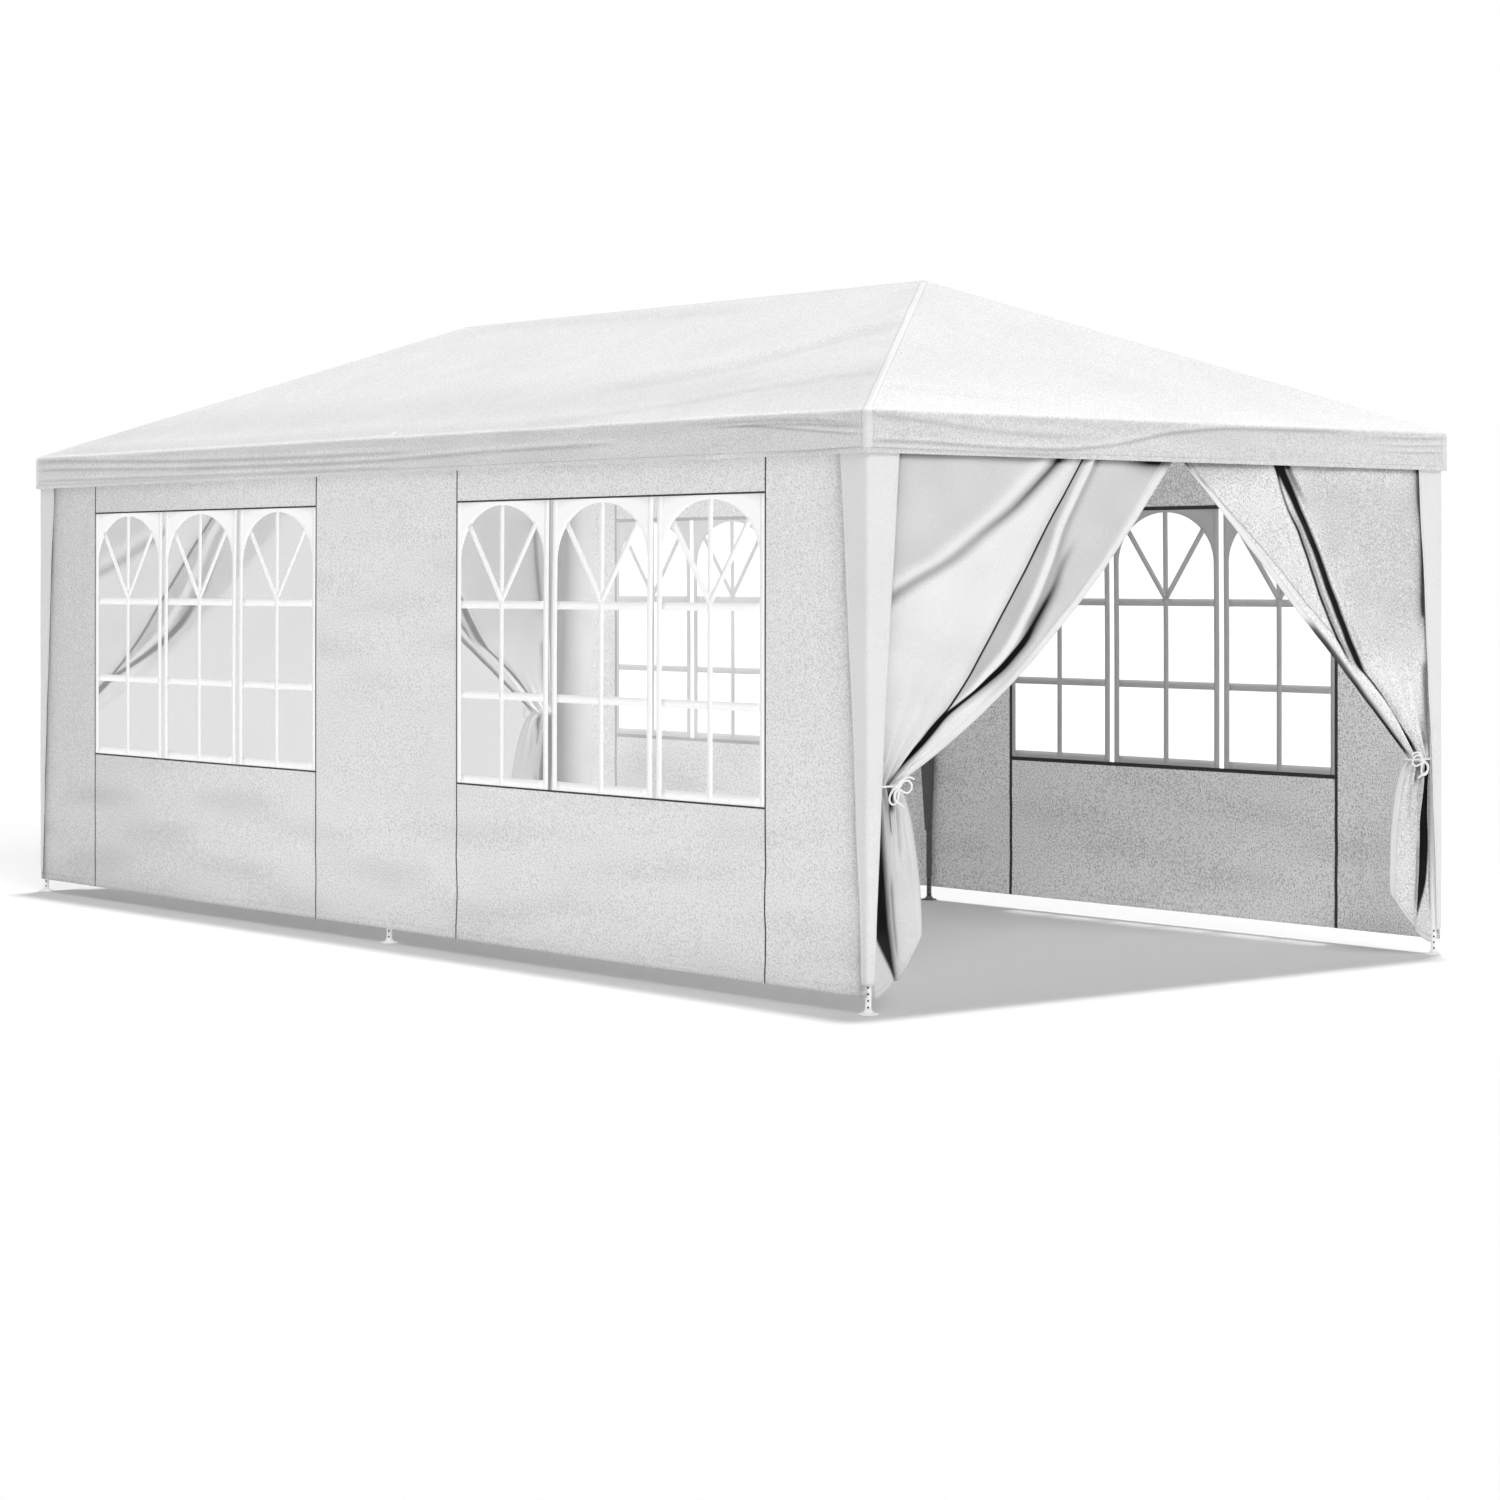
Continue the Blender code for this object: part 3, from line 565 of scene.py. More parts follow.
# Pressed folds of the long sides and of the ends, as seen on the left and in front: how dark
# each is painted, as shade, its half width, and its line as (place along the side from the tent's middle,
# height)
LONG_SIDE_FOLDS = [
    (0.20, 0.009, [(3.3, 2.031), (2.74, 2.029), (1.8, 2.000), (0.86, 1.987), (0.01, 1.984)]),
    (0.22, 0.008, [(3.3, 1.990), (2.74, 1.988), (1.56, 1.963), (0.34, 1.953), (-0.15, 1.957),
                   (-0.76, 1.970), (-1.33, 1.973)]),
    (0.18, 0.006, [(3.3, 1.940), (2.74, 1.939), (2.05, 1.933), (0.86, 1.926), (0.17, 1.926)]),
    (0.16, 0.009, [(-2.22, 2.030), (-2.64, 2.026), (-2.97, 1.993), (-3.3, 1.98)]),
    (0.32, 0.004, [(-2.38, 2.012), (-2.69, 1.984), (-2.98, 1.960), (-3.3, 1.955)]),
    (0.24, 0.004, [(-2.49, 2.013), (-2.75, 2.002), (-2.98, 1.985), (-3.3, 1.98)]),
    (0.22, 0.004, [(-2.70, 1.914), (-2.98, 1.923), (-3.3, 1.926)]),
    (0.08, 0.012, [(-1.18, 2.084), (-1.45, 2.105), (-1.71, 2.126), (-2.03, 2.176), (-2.28, 2.195),
                   (-2.5, 2.21)]),
    (0.08, 0.032, [(-1.0, 2.246), (-1.51, 2.299), (-1.73, 2.368), (-1.95, 2.424)]),
    (0.07, 0.016, [(3.3, 2.075), (2.38, 2.072), (1.4, 2.074), (0.52, 2.078), (-0.33, 2.070),
                   (-1.2, 2.066)]),
    (0.06, 0.025, [(1.22, 2.640), (0.49, 2.625), (-0.50, 2.600)])]
END_FOLDS = [
    (0.14, 0.010, [(-1.8, 2.045), (-1.47, 2.031), (-1.21, 2.011), (-0.91, 1.987), (-0.70, 1.981)]),
    (0.26, 0.007, [(-1.8, 1.944), (-1.47, 1.942), (-1.21, 1.941), (-0.86, 1.930), (-0.60, 1.930),
                   (-0.33, 1.953), (-0.06, 2.005), (0.23, 2.030), (0.67, 2.034)]),
    (0.16, 0.005, [(-1.8, 1.919), (-1.42, 1.918), (-1.06, 1.914), (-0.73, 1.912)]),
    (0.24, 0.004, [(1.28, 2.020), (1.51, 2.026), (1.8, 2.030)]),
    (0.24, 0.004, [(1.30, 1.991), (1.51, 1.998), (1.8, 2.000)]),
    (0.24, 0.004, [(1.34, 1.966), (1.51, 1.971), (1.8, 1.974)]),
    (0.04, 0.012, [(-1.40, 2.150), (-1.10, 2.135), (-0.80, 2.120)])]


def ease(value, low, high):
    """0 at low, 1 at high, with level ends in between: 3 t t - 2 t t t."""
    t = np.clip((value - low) / (high - low), 0, 1)
    return t * t * (3 - 2 * t)


def bell(d):
    """exp(-d d): 1 at 0, and next to nothing past 2."""
    return np.exp(-d * d)


def ripples(points, length, seed, stretch=(1, 1, 1), waves=10):
    """Gentle unevenness, mostly within 1 of 0: the sum of cosines of random directions through
    the points, with wavelengths round length; stretch below 1 draws them out along an axis."""
    draw = np.random.default_rng(seed)
    heading = unit(draw.normal(size=(waves, 3))) * np.array(stretch)
    turns = heading * 2 * np.pi / (length * draw.uniform(0.7, 1.4, (waves, 1)))
    phase = draw.uniform(0, 2 * np.pi, waves)
    return np.cos(points @ turns.T + phase).sum(-1) / np.sqrt(waves)


def along_line(line, place, soften):
    """The height, at each place, of a line through its knots, with its corners rounded off: the
    plain line's average over soften to each side, under a raised cosine."""
    knots, heights = np.array(line).T
    order = knots.argsort()
    reach = np.linspace(-1, 1, 15)
    weight = 1 + np.cos(np.pi * reach)
    spread = np.interp(place[..., None] + soften * reach, knots[order], heights[order])
    return spread @ weight / weight.sum()


def lasting(place, first, last, fade):
    """1 from first to last, fading to 0 over fade outside them."""
    return ease(place, first - fade, first) * ease(-place, -last - fade, -last)


def cloth_finish(name, colour, roughness, grain=0.22, relief=0.5, tape=0.0032, glow=0.0, shine=0.5):
    """Woven polythene: flat tapes cross at a small pitch in UV metres, and the coating over them
    is mottled; both show a little in tone and in relief. The piece's tone attribute is painted
    shade and highlight: it darkens the cloth in its folds. Light that comes through the cloth is
    painted as a faint glow of the same tone."""
    material, tree, shader = paint(name, colour, roughness, glow, Sheen_Weight=0.24 * shine,
                                   Sheen_Roughness=0.4, Specular_IOR_Level=shine)
    mottle = noise(tree, 150.0, 2.0, Roughness=0.65)
    flat = add_step(tree, "ShaderNodeUVMap", uv_map="metres")
    apart = tree.nodes.new("ShaderNodeSeparateXYZ")
    tree.links.new(flat, apart.inputs[0])
    weave = math_step(tree, "MULTIPLY", *(
        math_step(tree, "SINE", math_step(tree, "MULTIPLY", length, 2 * np.pi / tape))
        for length in apart.outputs[:2]))
    # The tone attribute is painted shade and highlight, from the piece's folds and bands.
    tone = add_step(tree, "ShaderNodeAttribute", out=2, attribute_name="tone")
    for part in (between(tree, mottle, 1 - grain, 1 + grain, 0.3, 0.7),
                 between(tree, noise(tree, 6.0, 3.0), 0.985, 1.015, 0.3, 0.7),
                 between(tree, weave, 0.993, 1.007, -1.0, 1.0)):
        tone = math_step(tree, "MULTIPLY", tone, part)
    shade = toned(tree, colour, tone)
    dress(shader, {"Base Color": shade, "Emission Color": shade,
                   "Roughness": between(tree, mottle, roughness - 0.1, roughness + 0.1)},
          relief, 0.0007, math_step(tree, "MULTIPLY_ADD", weave, 0.25, mottle))
    return material


def canopy_columns():
    """For each column round the cover: its side, how far it is from the side's start and end where
    it belongs to a binding (else NO_TAPE), its share between the bindings, and its turn at a corner."""
    tape = np.array([0.0, BINDING_HALF / 2, BINDING_HALF])
    corner = np.linspace(0, np.pi / 2, 6)[1:-1]
    parts = []
    for side in range(4):
        count = LONG_COLUMNS if side % 2 else END_COLUMNS
        share = np.arange(1, count) / count
        side_parts = [(tape, NO_TAPE, 0, 0), (NO_TAPE, NO_TAPE, share, 0),
                      (NO_TAPE, tape[::-1], 1, 0), (NO_TAPE, 0.0, 1, corner)]
        for part in side_parts:
            width = max(np.size(value) for value in part)
            parts.append(np.array([np.full(width, side)] + [np.broadcast_to(value, width)
                                                           for value in part], float))
    parts.append(np.array([[0], [0.0], [NO_TAPE], [0], [0]], float))
    return np.concatenate(parts, 1)


def canopy_grid():
    """Rings round the cover from the ridge, fall 0, to the eave, 1, over the roll, 2, and down to
    the hem, 3. A ring is a rounded rectangle with half sizes that grow evenly down the slope."""
    fall = np.concatenate([np.linspace(0, 1, SLOPE_ROWS + 1),
                           1 + np.arange(1, ROLL_ROWS + 1) / ROLL_ROWS,
                           2 + np.arange(1, VALANCE_ROWS + 1) / VALANCE_ROWS])[:, None]
    side, start, end, share, turn = canopy_columns()[:, None, :]
    slope, bend, drop = (np.clip(fall - stage, 0, 1) for stage in range(3))
    roll = SLOPE + bend * (np.pi / 2 - SLOPE)
    out = EAVE_ROLL * (np.sin(roll) - np.sin(SLOPE))
    last = EAVE_ROLL * (1 - np.sin(SLOPE))
    half_x = slope * (ROOF_X - last) + out
    half_y = RIDGE_HALF + slope * (ROOF_Y - last - RIDGE_HALF) + out
    eave = ROLL_Z + EAVE_ROLL * np.cos(SLOPE)
    z = (ROOF_PEAK - slope * (ROOF_PEAK - eave) + EAVE_ROLL * (np.cos(roll) - np.cos(SLOPE))
         - drop * (ROLL_Z - VALANCE_HEM))
    radius = np.minimum(HIP_ROUND + EAVE_ROUND_MORE * ease(fall, 0.9, 2), half_x)
    long = side % 2 == 1
    ahead, across = np.where(long, half_x, half_y), np.where(long, half_y, half_x)
    half = across - radius
    tape = 1 - np.minimum(1, BINDING_HALF / np.maximum(half, 1e-9))
    q = tape * (2 * share - 1)
    q = np.where(start < NO_TAPE, -1 + np.minimum(1, start / np.maximum(half, 1e-9)), q)
    q = np.where(end < NO_TAPE, 1 - np.minimum(1, end / np.maximum(half, 1e-9)), q)
    facing = side * np.pi / 2 - np.pi / 2
    normal, tangent = at(np.cos(facing), np.sin(facing)), at(-np.sin(facing), np.cos(facing))
    spoke = np.cos(turn)[..., None] * normal + np.sin(turn)[..., None] * tangent
    plan = (normal * (ahead - radius)[..., None] + tangent * (q * half)[..., None]
            + spoke * radius[..., None])
    z = np.broadcast_to(z, plan.shape[:2])
    points = np.concatenate([plan, z[..., None]], -1)
    outward = np.concatenate([spoke * np.sin(roll)[..., None],
                              np.broadcast_to(np.cos(roll)[..., None], z.shape + (1,))], -1)
    relief, tone = canopy_relief(points, fall, side, q)
    points = points + outward * relief[..., None]
    down = np.where(fall < 1, slope * ROOF_X / np.cos(SLOPE), ROOF_X / np.cos(SLOPE) + ROOF_EAVE - z)
    uv = at(q * half + side * 10, -down)
    return points, uv, tone, outward


def canopy_relief(points, fall, side, q):
    """How far the cover stands out from its plain form, and its tone, mostly painted shade and
    highlight: sag between rafters, slight puckers, and pressed folds, each a valley exp(-d d) with a
    lighter roll beside it, painted dark in the valley and lighter on the roll."""
    z = points[..., 2]
    long = side % 2 == 1
    bay = np.where(long, np.abs(q), (q + 1) / 2)
    sag = SAG * 4 * bay * (1 - bay) * np.sin(np.pi * np.clip(fall, 0, 1) ** 1.3)
    calm = 1 - np.abs(q) ** 8
    relief = -sag + calm * np.sin(np.pi * np.clip(fall, 0, 1)) ** 0.5 * (
        0.0022 * ripples(points, 0.65, 11) + 0.0009 * ripples(points, 0.22, 12))
    hang = ease(fall, 1.2, 2.3)
    level = (0.10, 0.10, 1)
    by_corner = 1 - np.abs(q) ** 60
    relief = relief + hang * by_corner * (0.0009 * ripples(points, 0.045, 21, level)
                                          + 0.0014 * ripples(points, 0.10, 22, level))
    place = np.where(long, points[..., 1] * np.where(side == 3, 1, -1),
                     points[..., 0] * np.where(side == 0, 1, -1))
    tone = 1 - 0.025 * hang * ripples(points, 0.07, 23, level) - 0.012 * ripples(points, 0.5, 24)
    # Painted highlight along the eave's roll; painted shade in a band under it and low on the long sides'
    # slopes.
    tone = tone + 0.10 * lasting(fall, 1.10, 1.25, 0.45) - 0.05 * lasting(fall, 1.9, 2.1, 0.35)
    tone = tone - 0.11 * long * lasting(fall, 0.84, 0.97, 0.28)
    for ways, folds in ((long, LONG_SIDE_FOLDS), (~long, END_FOLDS)):
        for dark, width, line in folds:
            ends = sorted((line[0][0], line[-1][0]))
            there = ways * by_corner * lasting(place, *ends, 0.35)
            d = (z - along_line(line, place, 0.15)) / width
            valley, roll = bell(d), bell((d - 1.9) / 1.2)
            # Each fold is painted dark in its valley and a little lighter on its roll.
            tone = tone - there * FOLD_PAINTED_SHADE * dark * (valley - 0.25 * roll)
            relief = relief + there * width * 0.42 * (0.6 * roll - valley) * ease(fall, 0.0, 0.15)
    return relief, tone


canopy_cloth = cloth_finish("canopy_cloth", CLOTH_WHITE, 0.6)
# The cover's underside glows faintly: painted light for daylight that comes through the cloth.
canopy_inner_glow = cloth_finish("canopy_underside_painted_glow", CLOTH_WHITE, 0.6, glow=0.07)
tape_cloth = cloth_finish("binding_tape", (0.88, 0.88, 0.878), 0.55, grain=0.05, relief=0.25,
                          tape=0.0016)
points, uv, tone, outward = canopy_grid()
canopy = mesh_piece("canopy", [(points, uv, tone)], [canopy_cloth, canopy_inner_glow], outward, CLOTH_THICK)
columns = canopy_columns()
above_hem = slice(None, -HEM_ROWS)
bindings = []
for side, corner in enumerate(("front_right", "back_right", "back_left", "front_left")):
    into = np.flatnonzero((columns[0] == side) & (columns[2] < NO_TAPE))
    starts = (columns[1] < NO_TAPE) & (columns[2] == NO_TAPE)
    out_of = np.flatnonzero((columns[0] == (side + 1) % 4) & starts)[:3]
    chosen = np.concatenate([into, out_of])
    strip = tuple(part[above_hem][:, chosen] for part in (points, uv, tone))
    bindings.append(mesh_piece(f"hip_binding_{corner}", [strip], [tape_cloth],
                               outward[above_hem][:, chosen], TAPE_THICK))
hem_rows = slice(-HEM_ROWS - 1, None)
canopy_hem = mesh_piece("valance_hem", [(points[hem_rows], uv[hem_rows], tone[hem_rows])],
                        [canopy_cloth], outward[hem_rows], TAPE_THICK)
for piece in (canopy, canopy_hem, *bindings):
    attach(piece, "tent")
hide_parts(*(f"{part}_{way}" for part in ("roof", "valance")
                      for way in ("front", "back", "left", "right")))


# Long walls. Each is one sheet of the same woven cloth, hung behind the valance and hemmed at the
# bottom, with full-height seams at the windows' edges and seams over and under each window,
# sewn in dark thread. It bellies out a little between its fixings and has soft level puckers.
WALL_X = 1.4943
WALL_BOTTOM, WALL_TOP, WALL_END = 0.060, 2.030, 2.965
WINDOW_NEAR, WINDOW_FAR = 0.520, 2.430
WINDOW_SILL, WINDOW_HEAD = 0.672, 1.778
SEAM_HALF = {"left": 0.0032, "right": 0.0080}
WALL_HEM = 0.030
WALL_COLUMN, WALL_ROW = 0.028, 0.022
HEM_THICK, SEAM_THICK = 0.0022, 0.0028
COVER_EDGE = 0.0241
COVER_BOTTOM, COVER_TOP = 0.100, 1.975
COVER_WIDE_LOW, COVER_WIDE_TOP = 0.034, 0.150


def ruled(marks, step):
    """Lines through all the marks, with even ones between them about a step apart."""
    marks = sorted(marks)
    parts = [np.linspace(a, b, max(2, int(np.ceil((b - a) / step)) + 1))[:-1]
             for a, b in zip(marks, marks[1:])]
    return np.concatenate(parts + [[marks[-1]]])


def cover_width(z):
    """How wide a leg cover is at each height, from its corner to its slanting edge, which curves a
    little: low + (top - low) t^1.25."""
    t = np.clip((z - COVER_BOTTOM) / (COVER_TOP - COVER_BOTTOM), 0, 1)
    return COVER_WIDE_LOW + (COVER_WIDE_TOP - COVER_WIDE_LOW) * t ** 1.25


def wall_belly(sx, y, z):
    """How far the wall stands outwards: 3 mm, a bulge of up to 7 mm more across each half of its
    length, and level puckers that leave the windows flat, all fading to nothing at the corner legs
    and under the rail."""
    free = lasting(np.abs(y), 0, 2.45, 0.35) * ease(-z, -2.02, -1.82)
    bulge = 0.0070 * np.sin(np.pi * np.clip(np.abs(y) / 2.75, 0, 1)) ** 2 * ease(-z, -1.9, -1.1)
    window = (lasting(np.abs(y), WINDOW_NEAR, WINDOW_FAR, 0.12)
              * ease(z, WINDOW_SILL - 0.2, WINDOW_SILL - 0.03))
    spot = at(sx * 5.0, y, z)
    level = (1, 0.25, 1)
    pucker = 0.0014 * ripples(spot, 0.17, 31, level) + 0.0006 * ripples(spot, 0.09, 32, level)
    return free * np.clip(0.003 + bulge + (1 - window) * pucker, 0.0, 0.016)


def on_wall(sx, y, z):
    """Points and UV metres of the wall's middle surface at the given lengths and heights."""
    x = sx * (WALL_X + wall_belly(sx, y, z))
    return at(x, y, z), at(y, z)


def wall_painted_shade(sx, y, z):
    """Painted shade: soft level bands where the cloth is slack, darker towards the back end and, on
    the right wall, under the eave, and a dark line of shade where each leg cover's slanting edge lies."""
    spot = at(sx * 5.0, y, z)
    bands = ripples(spot, 0.16, 33, (1, 0.16, 1))
    slack = np.maximum(lasting(y, -0.5, 0.45, 0.15) * lasting(z, 1.15, 1.50, 0.25),
                       lasting(z, 0.15, 0.55, 0.20))
    by_cover = np.abs(y) - (LEG_Y + COVER_EDGE - cover_width(z))
    return (1 - 0.065 * slack * np.maximum(bands, -0.3) - 0.18 * ease(y, 0.6, 2.9)
            - 0.13 * (sx > 0) * ease(z, 1.60, 1.90)
            - 0.26 * bell(by_cover / 0.018) - 0.14 * bell(by_cover / 0.07))


def thread_finish():
    """Dark sewn seam: its stitches show as a fine speckle, in tone and in relief."""
    material, tree, shader = paint("dark_seam", (0.055, 0.055, 0.057), 0.8)
    dash = noise(tree, 260.0)
    dress(shader, {"Base Color": grey(tree, between(tree, dash, 0.015, 0.06, 0.35, 0.65))},
          0.4, 0.0005, dash)
    return material


def close_to(lines, marks, reach):
    """Which of the lines lie within reach of each mark."""
    return np.abs(lines[:, None] - np.array(marks)[None, :]) < reach + 1e-6


# Both faces of the wall glow faintly, painted light for daylight through the cloth; the inside face is a
# slightly darker copy, painted shade for the tent's inside.
wall_cloth = cloth_finish("wall_cloth", (0.90, 0.90, 0.898), 0.62, grain=0.27, glow=0.022)
wall_inside_painted_light = cloth_finish("wall_cloth_inside_painted_light", (0.86, 0.86, 0.862), 0.62, grain=0.50, glow=0.04)
seam_thread = thread_finish()
seam_ys = [s * w for s in (-1, 1) for w in (WINDOW_NEAR, WINDOW_FAR)]
seam_zs = (WINDOW_SILL, WINDOW_HEAD)
for side, sx in SIDES.items():
    seam = SEAM_HALF[side]
    wall_ys = ruled([-WALL_END, WALL_END] + [y + d for y in seam_ys for d in (-seam, 0, seam)],
                    WALL_COLUMN)
    wall_zs = ruled([WALL_BOTTOM, WALL_BOTTOM + WALL_HEM, WALL_TOP]
                    + [z + d for z in seam_zs for d in (-seam, 0, seam)], WALL_ROW)
    z, y = np.meshgrid(wall_zs, wall_ys, indexing="ij")
    points, uv = on_wall(sx, y, z)
    tone = wall_painted_shade(sx, y, z)
    mid_y, mid_z = (wall_ys[1:] + wall_ys[:-1]) / 2, (wall_zs[1:] + wall_zs[:-1]) / 2
    in_bay = (np.abs(mid_y) > WINDOW_NEAR) & (np.abs(mid_y) < WINDOW_FAR)
    in_row = (mid_z > WINDOW_SILL) & (mid_z < WINDOW_HEAD)
    out, cloths = (sx, 0, 0), [wall_cloth, wall_inside_painted_light]
    wall = mesh_piece(f"{side}_wall_cloth", [(points, uv, tone)], cloths, out, CLOTH_THICK,
                      keep=~(in_row[:, None] & in_bay[None, :]))
    bottom = wall_zs < WALL_BOTTOM + WALL_HEM + 1e-6
    hem = mesh_piece(f"{side}_wall_hem", [(points[bottom], uv[bottom], tone[bottom])], cloths, out,
                     HEM_THICK)
    near, level = close_to(wall_ys, seam_ys, seam), close_to(wall_zs, seam_zs, seam)
    strips = [(points[:, near[:, i]], uv[:, near[:, i]]) for i in range(4)]
    for low in (-WINDOW_FAR, WINDOW_NEAR):
        bay = (wall_ys > low - 1e-6) & (wall_ys < low + WINDOW_FAR - WINDOW_NEAR + 1e-6)
        strips += [(points[level[:, j]][:, bay], uv[level[:, j]][:, bay]) for j in range(2)]
    seams = mesh_piece(f"{side}_wall_seams", strips, [seam_thread], out, SEAM_THICK)
    for piece in (wall, hem, seams):
        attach(piece, "tent")
    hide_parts(f"{side}_wall")


# Windows. Each is a sheet of clear film welded into the wall, printed with a white grille of three
# round-headed lights: a fan of bars in each head, two cross bars and one upright below it.
LIGHT_GAP = 0.027
LIGHT_WIDE = (WINDOW_FAR - WINDOW_NEAR - 2 * LIGHT_GAP) / 3
EDGE_BAR, MID_BAR, CROSS_BAR, SILL_BAR, CROWN_BAR = 0.030, 0.028, 0.031, 0.038, 0.018
# The cross bars' tops, as shares of the window's height down from its head
CROSS_SHARES = (0.350, 0.668)
SPRING_DROP = 0.235
FAN_ANGLE = np.radians(37)
FAN_BAR, FAN_LAP = 0.027, 0.012
BAR_THICKS = {"uprights": 0.0016, "cross": 0.0014, "arches": 0.0018}


def film_finish():
    """Clear film: mostly see-through, with slow waves in its gloss, and a painted glow that stands
    in for light coming through it. Where the tone falls below 1 it is greyer, less clear and
    glows less, as on the back window of the left wall."""
    material, tree, shader = paint("window_film", (0.93, 0.935, 0.94), 0.12, IOR=1.45)
    clear = add_step(tree, "ShaderNodeAttribute", out=2, attribute_name="tone")
    veil = between(tree, noise(tree, 3.0, 2.0), -0.03, 0.03, 0.3, 0.7)
    dress(shader, {"Alpha": math_step(tree, "ADD", veil, between(tree, clear, 0.53, 0.22)),
                   "Base Color": grey(tree, between(tree, clear, 0.50, 0.93)),
                   "Emission Strength": between(tree, clear, 0.12, 1.25)},
          0.2, 0.004, noise(tree, 7.0))
    return material


def print_finish(name, colour, glow=0.0):
    """Thick opaque print on film: even tone with a fine screen texture."""
    material, tree, shader = paint(name, colour, 0.45, glow)
    screen = noise(tree, 500.0)
    dress(shader, {"Base Color": toned(tree, colour, between(tree, screen, 0.97, 1.03))},
          0.1, 0.0003, screen)
    return material


def box_patch(y0, y1, z0, z1, step=0.03):
    """A rectangle as a grid of lengths and heights."""
    rows, columns = (max(1, int(np.ceil(abs(span) / step))) for span in (z1 - z0, y1 - y0))
    return np.meshgrid(np.linspace(y0, y1, columns + 1), np.linspace(z0, z1, rows + 1))


def arch_patch(y0, y1, spring):
    """The part of a light's head above its arch: from the half ellipse
    spring + rise sqrt(1 - t t) up to the window's head, with the spandrels solid."""
    turn = np.linspace(-np.pi / 2, np.pi / 2, 37)
    middle, half = (y0 + y1) / 2, (y1 - y0) / 2
    rise = WINDOW_HEAD - CROWN_BAR - spring
    y = middle + half * np.sin(turn)
    low = spring + rise * np.cos(turn)
    up = np.linspace(0, 1, 5)[:, None]
    return np.broadcast_to(y, (5, 37)), low + (WINDOW_HEAD - low) * up


def fan_patch(middle, base, lean, half, spring):
    """A slanting bar from the first cross bar's middle to the arch, which it laps a little."""
    rise = WINDOW_HEAD - CROWN_BAR - spring
    reach = np.linspace(0, 0.6, 601)
    inside = ((reach * np.sin(lean) / half) ** 2
              + (np.maximum(base + reach * np.cos(lean) - spring, 0) / rise) ** 2) < 1
    long = reach[inside].max() + FAN_LAP
    along, across = np.meshgrid(np.linspace(0, long, 10), np.array([-0.5, 0.5]) * FAN_BAR)
    return (middle + along * np.sin(lean) + across * np.cos(lean),
            base + along * np.cos(lean) - across * np.sin(lean))


def grille(low):
    """The patches of a window that starts at the length low, by kind of bar."""
    high = WINDOW_HEAD - WINDOW_SILL
    cross_tops = [WINDOW_HEAD - share * high for share in CROSS_SHARES]
    spring = WINDOW_HEAD - SPRING_DROP
    parts = {"uprights": [], "cross": [], "arches": []}
    for light in range(3):
        y0 = low + light * (LIGHT_WIDE + LIGHT_GAP)
        y1 = y0 + LIGHT_WIDE
        inner0, inner1, middle = y0 + EDGE_BAR, y1 - EDGE_BAR, (y0 + y1) / 2
        parts["uprights"] += [box_patch(y0, inner0, WINDOW_SILL, WINDOW_HEAD),
                              box_patch(inner1, y1, WINDOW_SILL, WINDOW_HEAD),
                              box_patch(middle - MID_BAR / 2, middle + MID_BAR / 2,
                                        WINDOW_SILL, WINDOW_HEAD - CROWN_BAR / 2)]
        parts["cross"] += [box_patch(inner0, inner1, top - CROSS_BAR, top) for top in cross_tops]
        parts["cross"] += [box_patch(inner0, inner1, WINDOW_SILL, WINDOW_SILL + SILL_BAR)]
        parts["arches"] += [arch_patch(inner0, inner1, spring)]
        parts["arches"] += [fan_patch(middle, cross_tops[0], lean, (inner1 - inner0) / 2, spring)
                            for lean in (-FAN_ANGLE, FAN_ANGLE)]
    return parts


film = film_finish()
# The grille's outer print glows faintly, painted light; its inner face is the same white print painted
# grey as shade.
grille_glow_and_shade = [print_finish("grille_print", (0.96, 0.96, 0.96), glow=0.20),
               print_finish("grille_inside_painted_shade", (0.58, 0.58, 0.582))]
for side, sx in SIDES.items():
    for end, low in (("front", -WINDOW_FAR), ("back", WINDOW_NEAR)):
        out = (sx, 0, 0)
        y, z = box_patch(low, low + WINDOW_FAR - WINDOW_NEAR, WINDOW_SILL, WINDOW_HEAD)
        clear = 1 - (sx < 0) * ease(y, -1.50, -1.20)
        pane = mesh_piece(f"{side}_window_film_{end}", [(*on_wall(sx, y, z), clear)], [film], out)
        bars = [mesh_piece(f"{side}_window_{kind}_{end}", [on_wall(sx, y, z) for y, z in patches],
                           grille_glow_and_shade, out, BAR_THICKS[kind]) for kind, patches in grille(low).items()]
        for piece in (pane, *bars):
            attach(piece, "tent")
        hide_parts(f"{side}_window_{end}")


# Door curtains. A pair of soft cloth panels hangs from each end rail, meeting in the middle. Each
# is swept to its corner leg and tied at waist height, so long folds run from the rail to the tie
# and a short tail spreads below it, with its front panel folded over a hollow painted dark as shade.
# The folds' shade and highlights are painted into the cloth's tone.
CURTAIN_TOP, CURTAIN_LEG_SIDE = 2.030, -1.455
CURTAIN_MIDDLE = {"left": 0.075, "right": 0.105}
CURTAIN_LAP = {"left": 0.0035, "right": -0.0035}
SWOOP_PULL = {"left": (-0.600, 1.150), "right": (-0.610, 1.400)}
WAIST_TOP, WAIST_LOW = 0.776, 0.764
WAIST_LEG_SIDE, WAIST_FREE_SIDE = -1.457, -1.335
TAIL_LEG_SIDE = (-1.452, 0.050)
TAIL_FREE_SIDE = {"left": (-1.240, 0.258), "right": (-1.202, 0.258)}
HANG_PLANE, WAIST_PLANE, HEM_PLANE = -2.9683, -2.940, -2.962
CURTAIN_HEM = 0.040
CURTAIN_WHITE = (0.96, 0.96, 0.958)
CURTAIN_COLUMNS, DROP_ROWS, TAIL_ROWS = 210, 130, 56
CURTAIN_WIDE, DROP_LONG = 1.45, 1.2
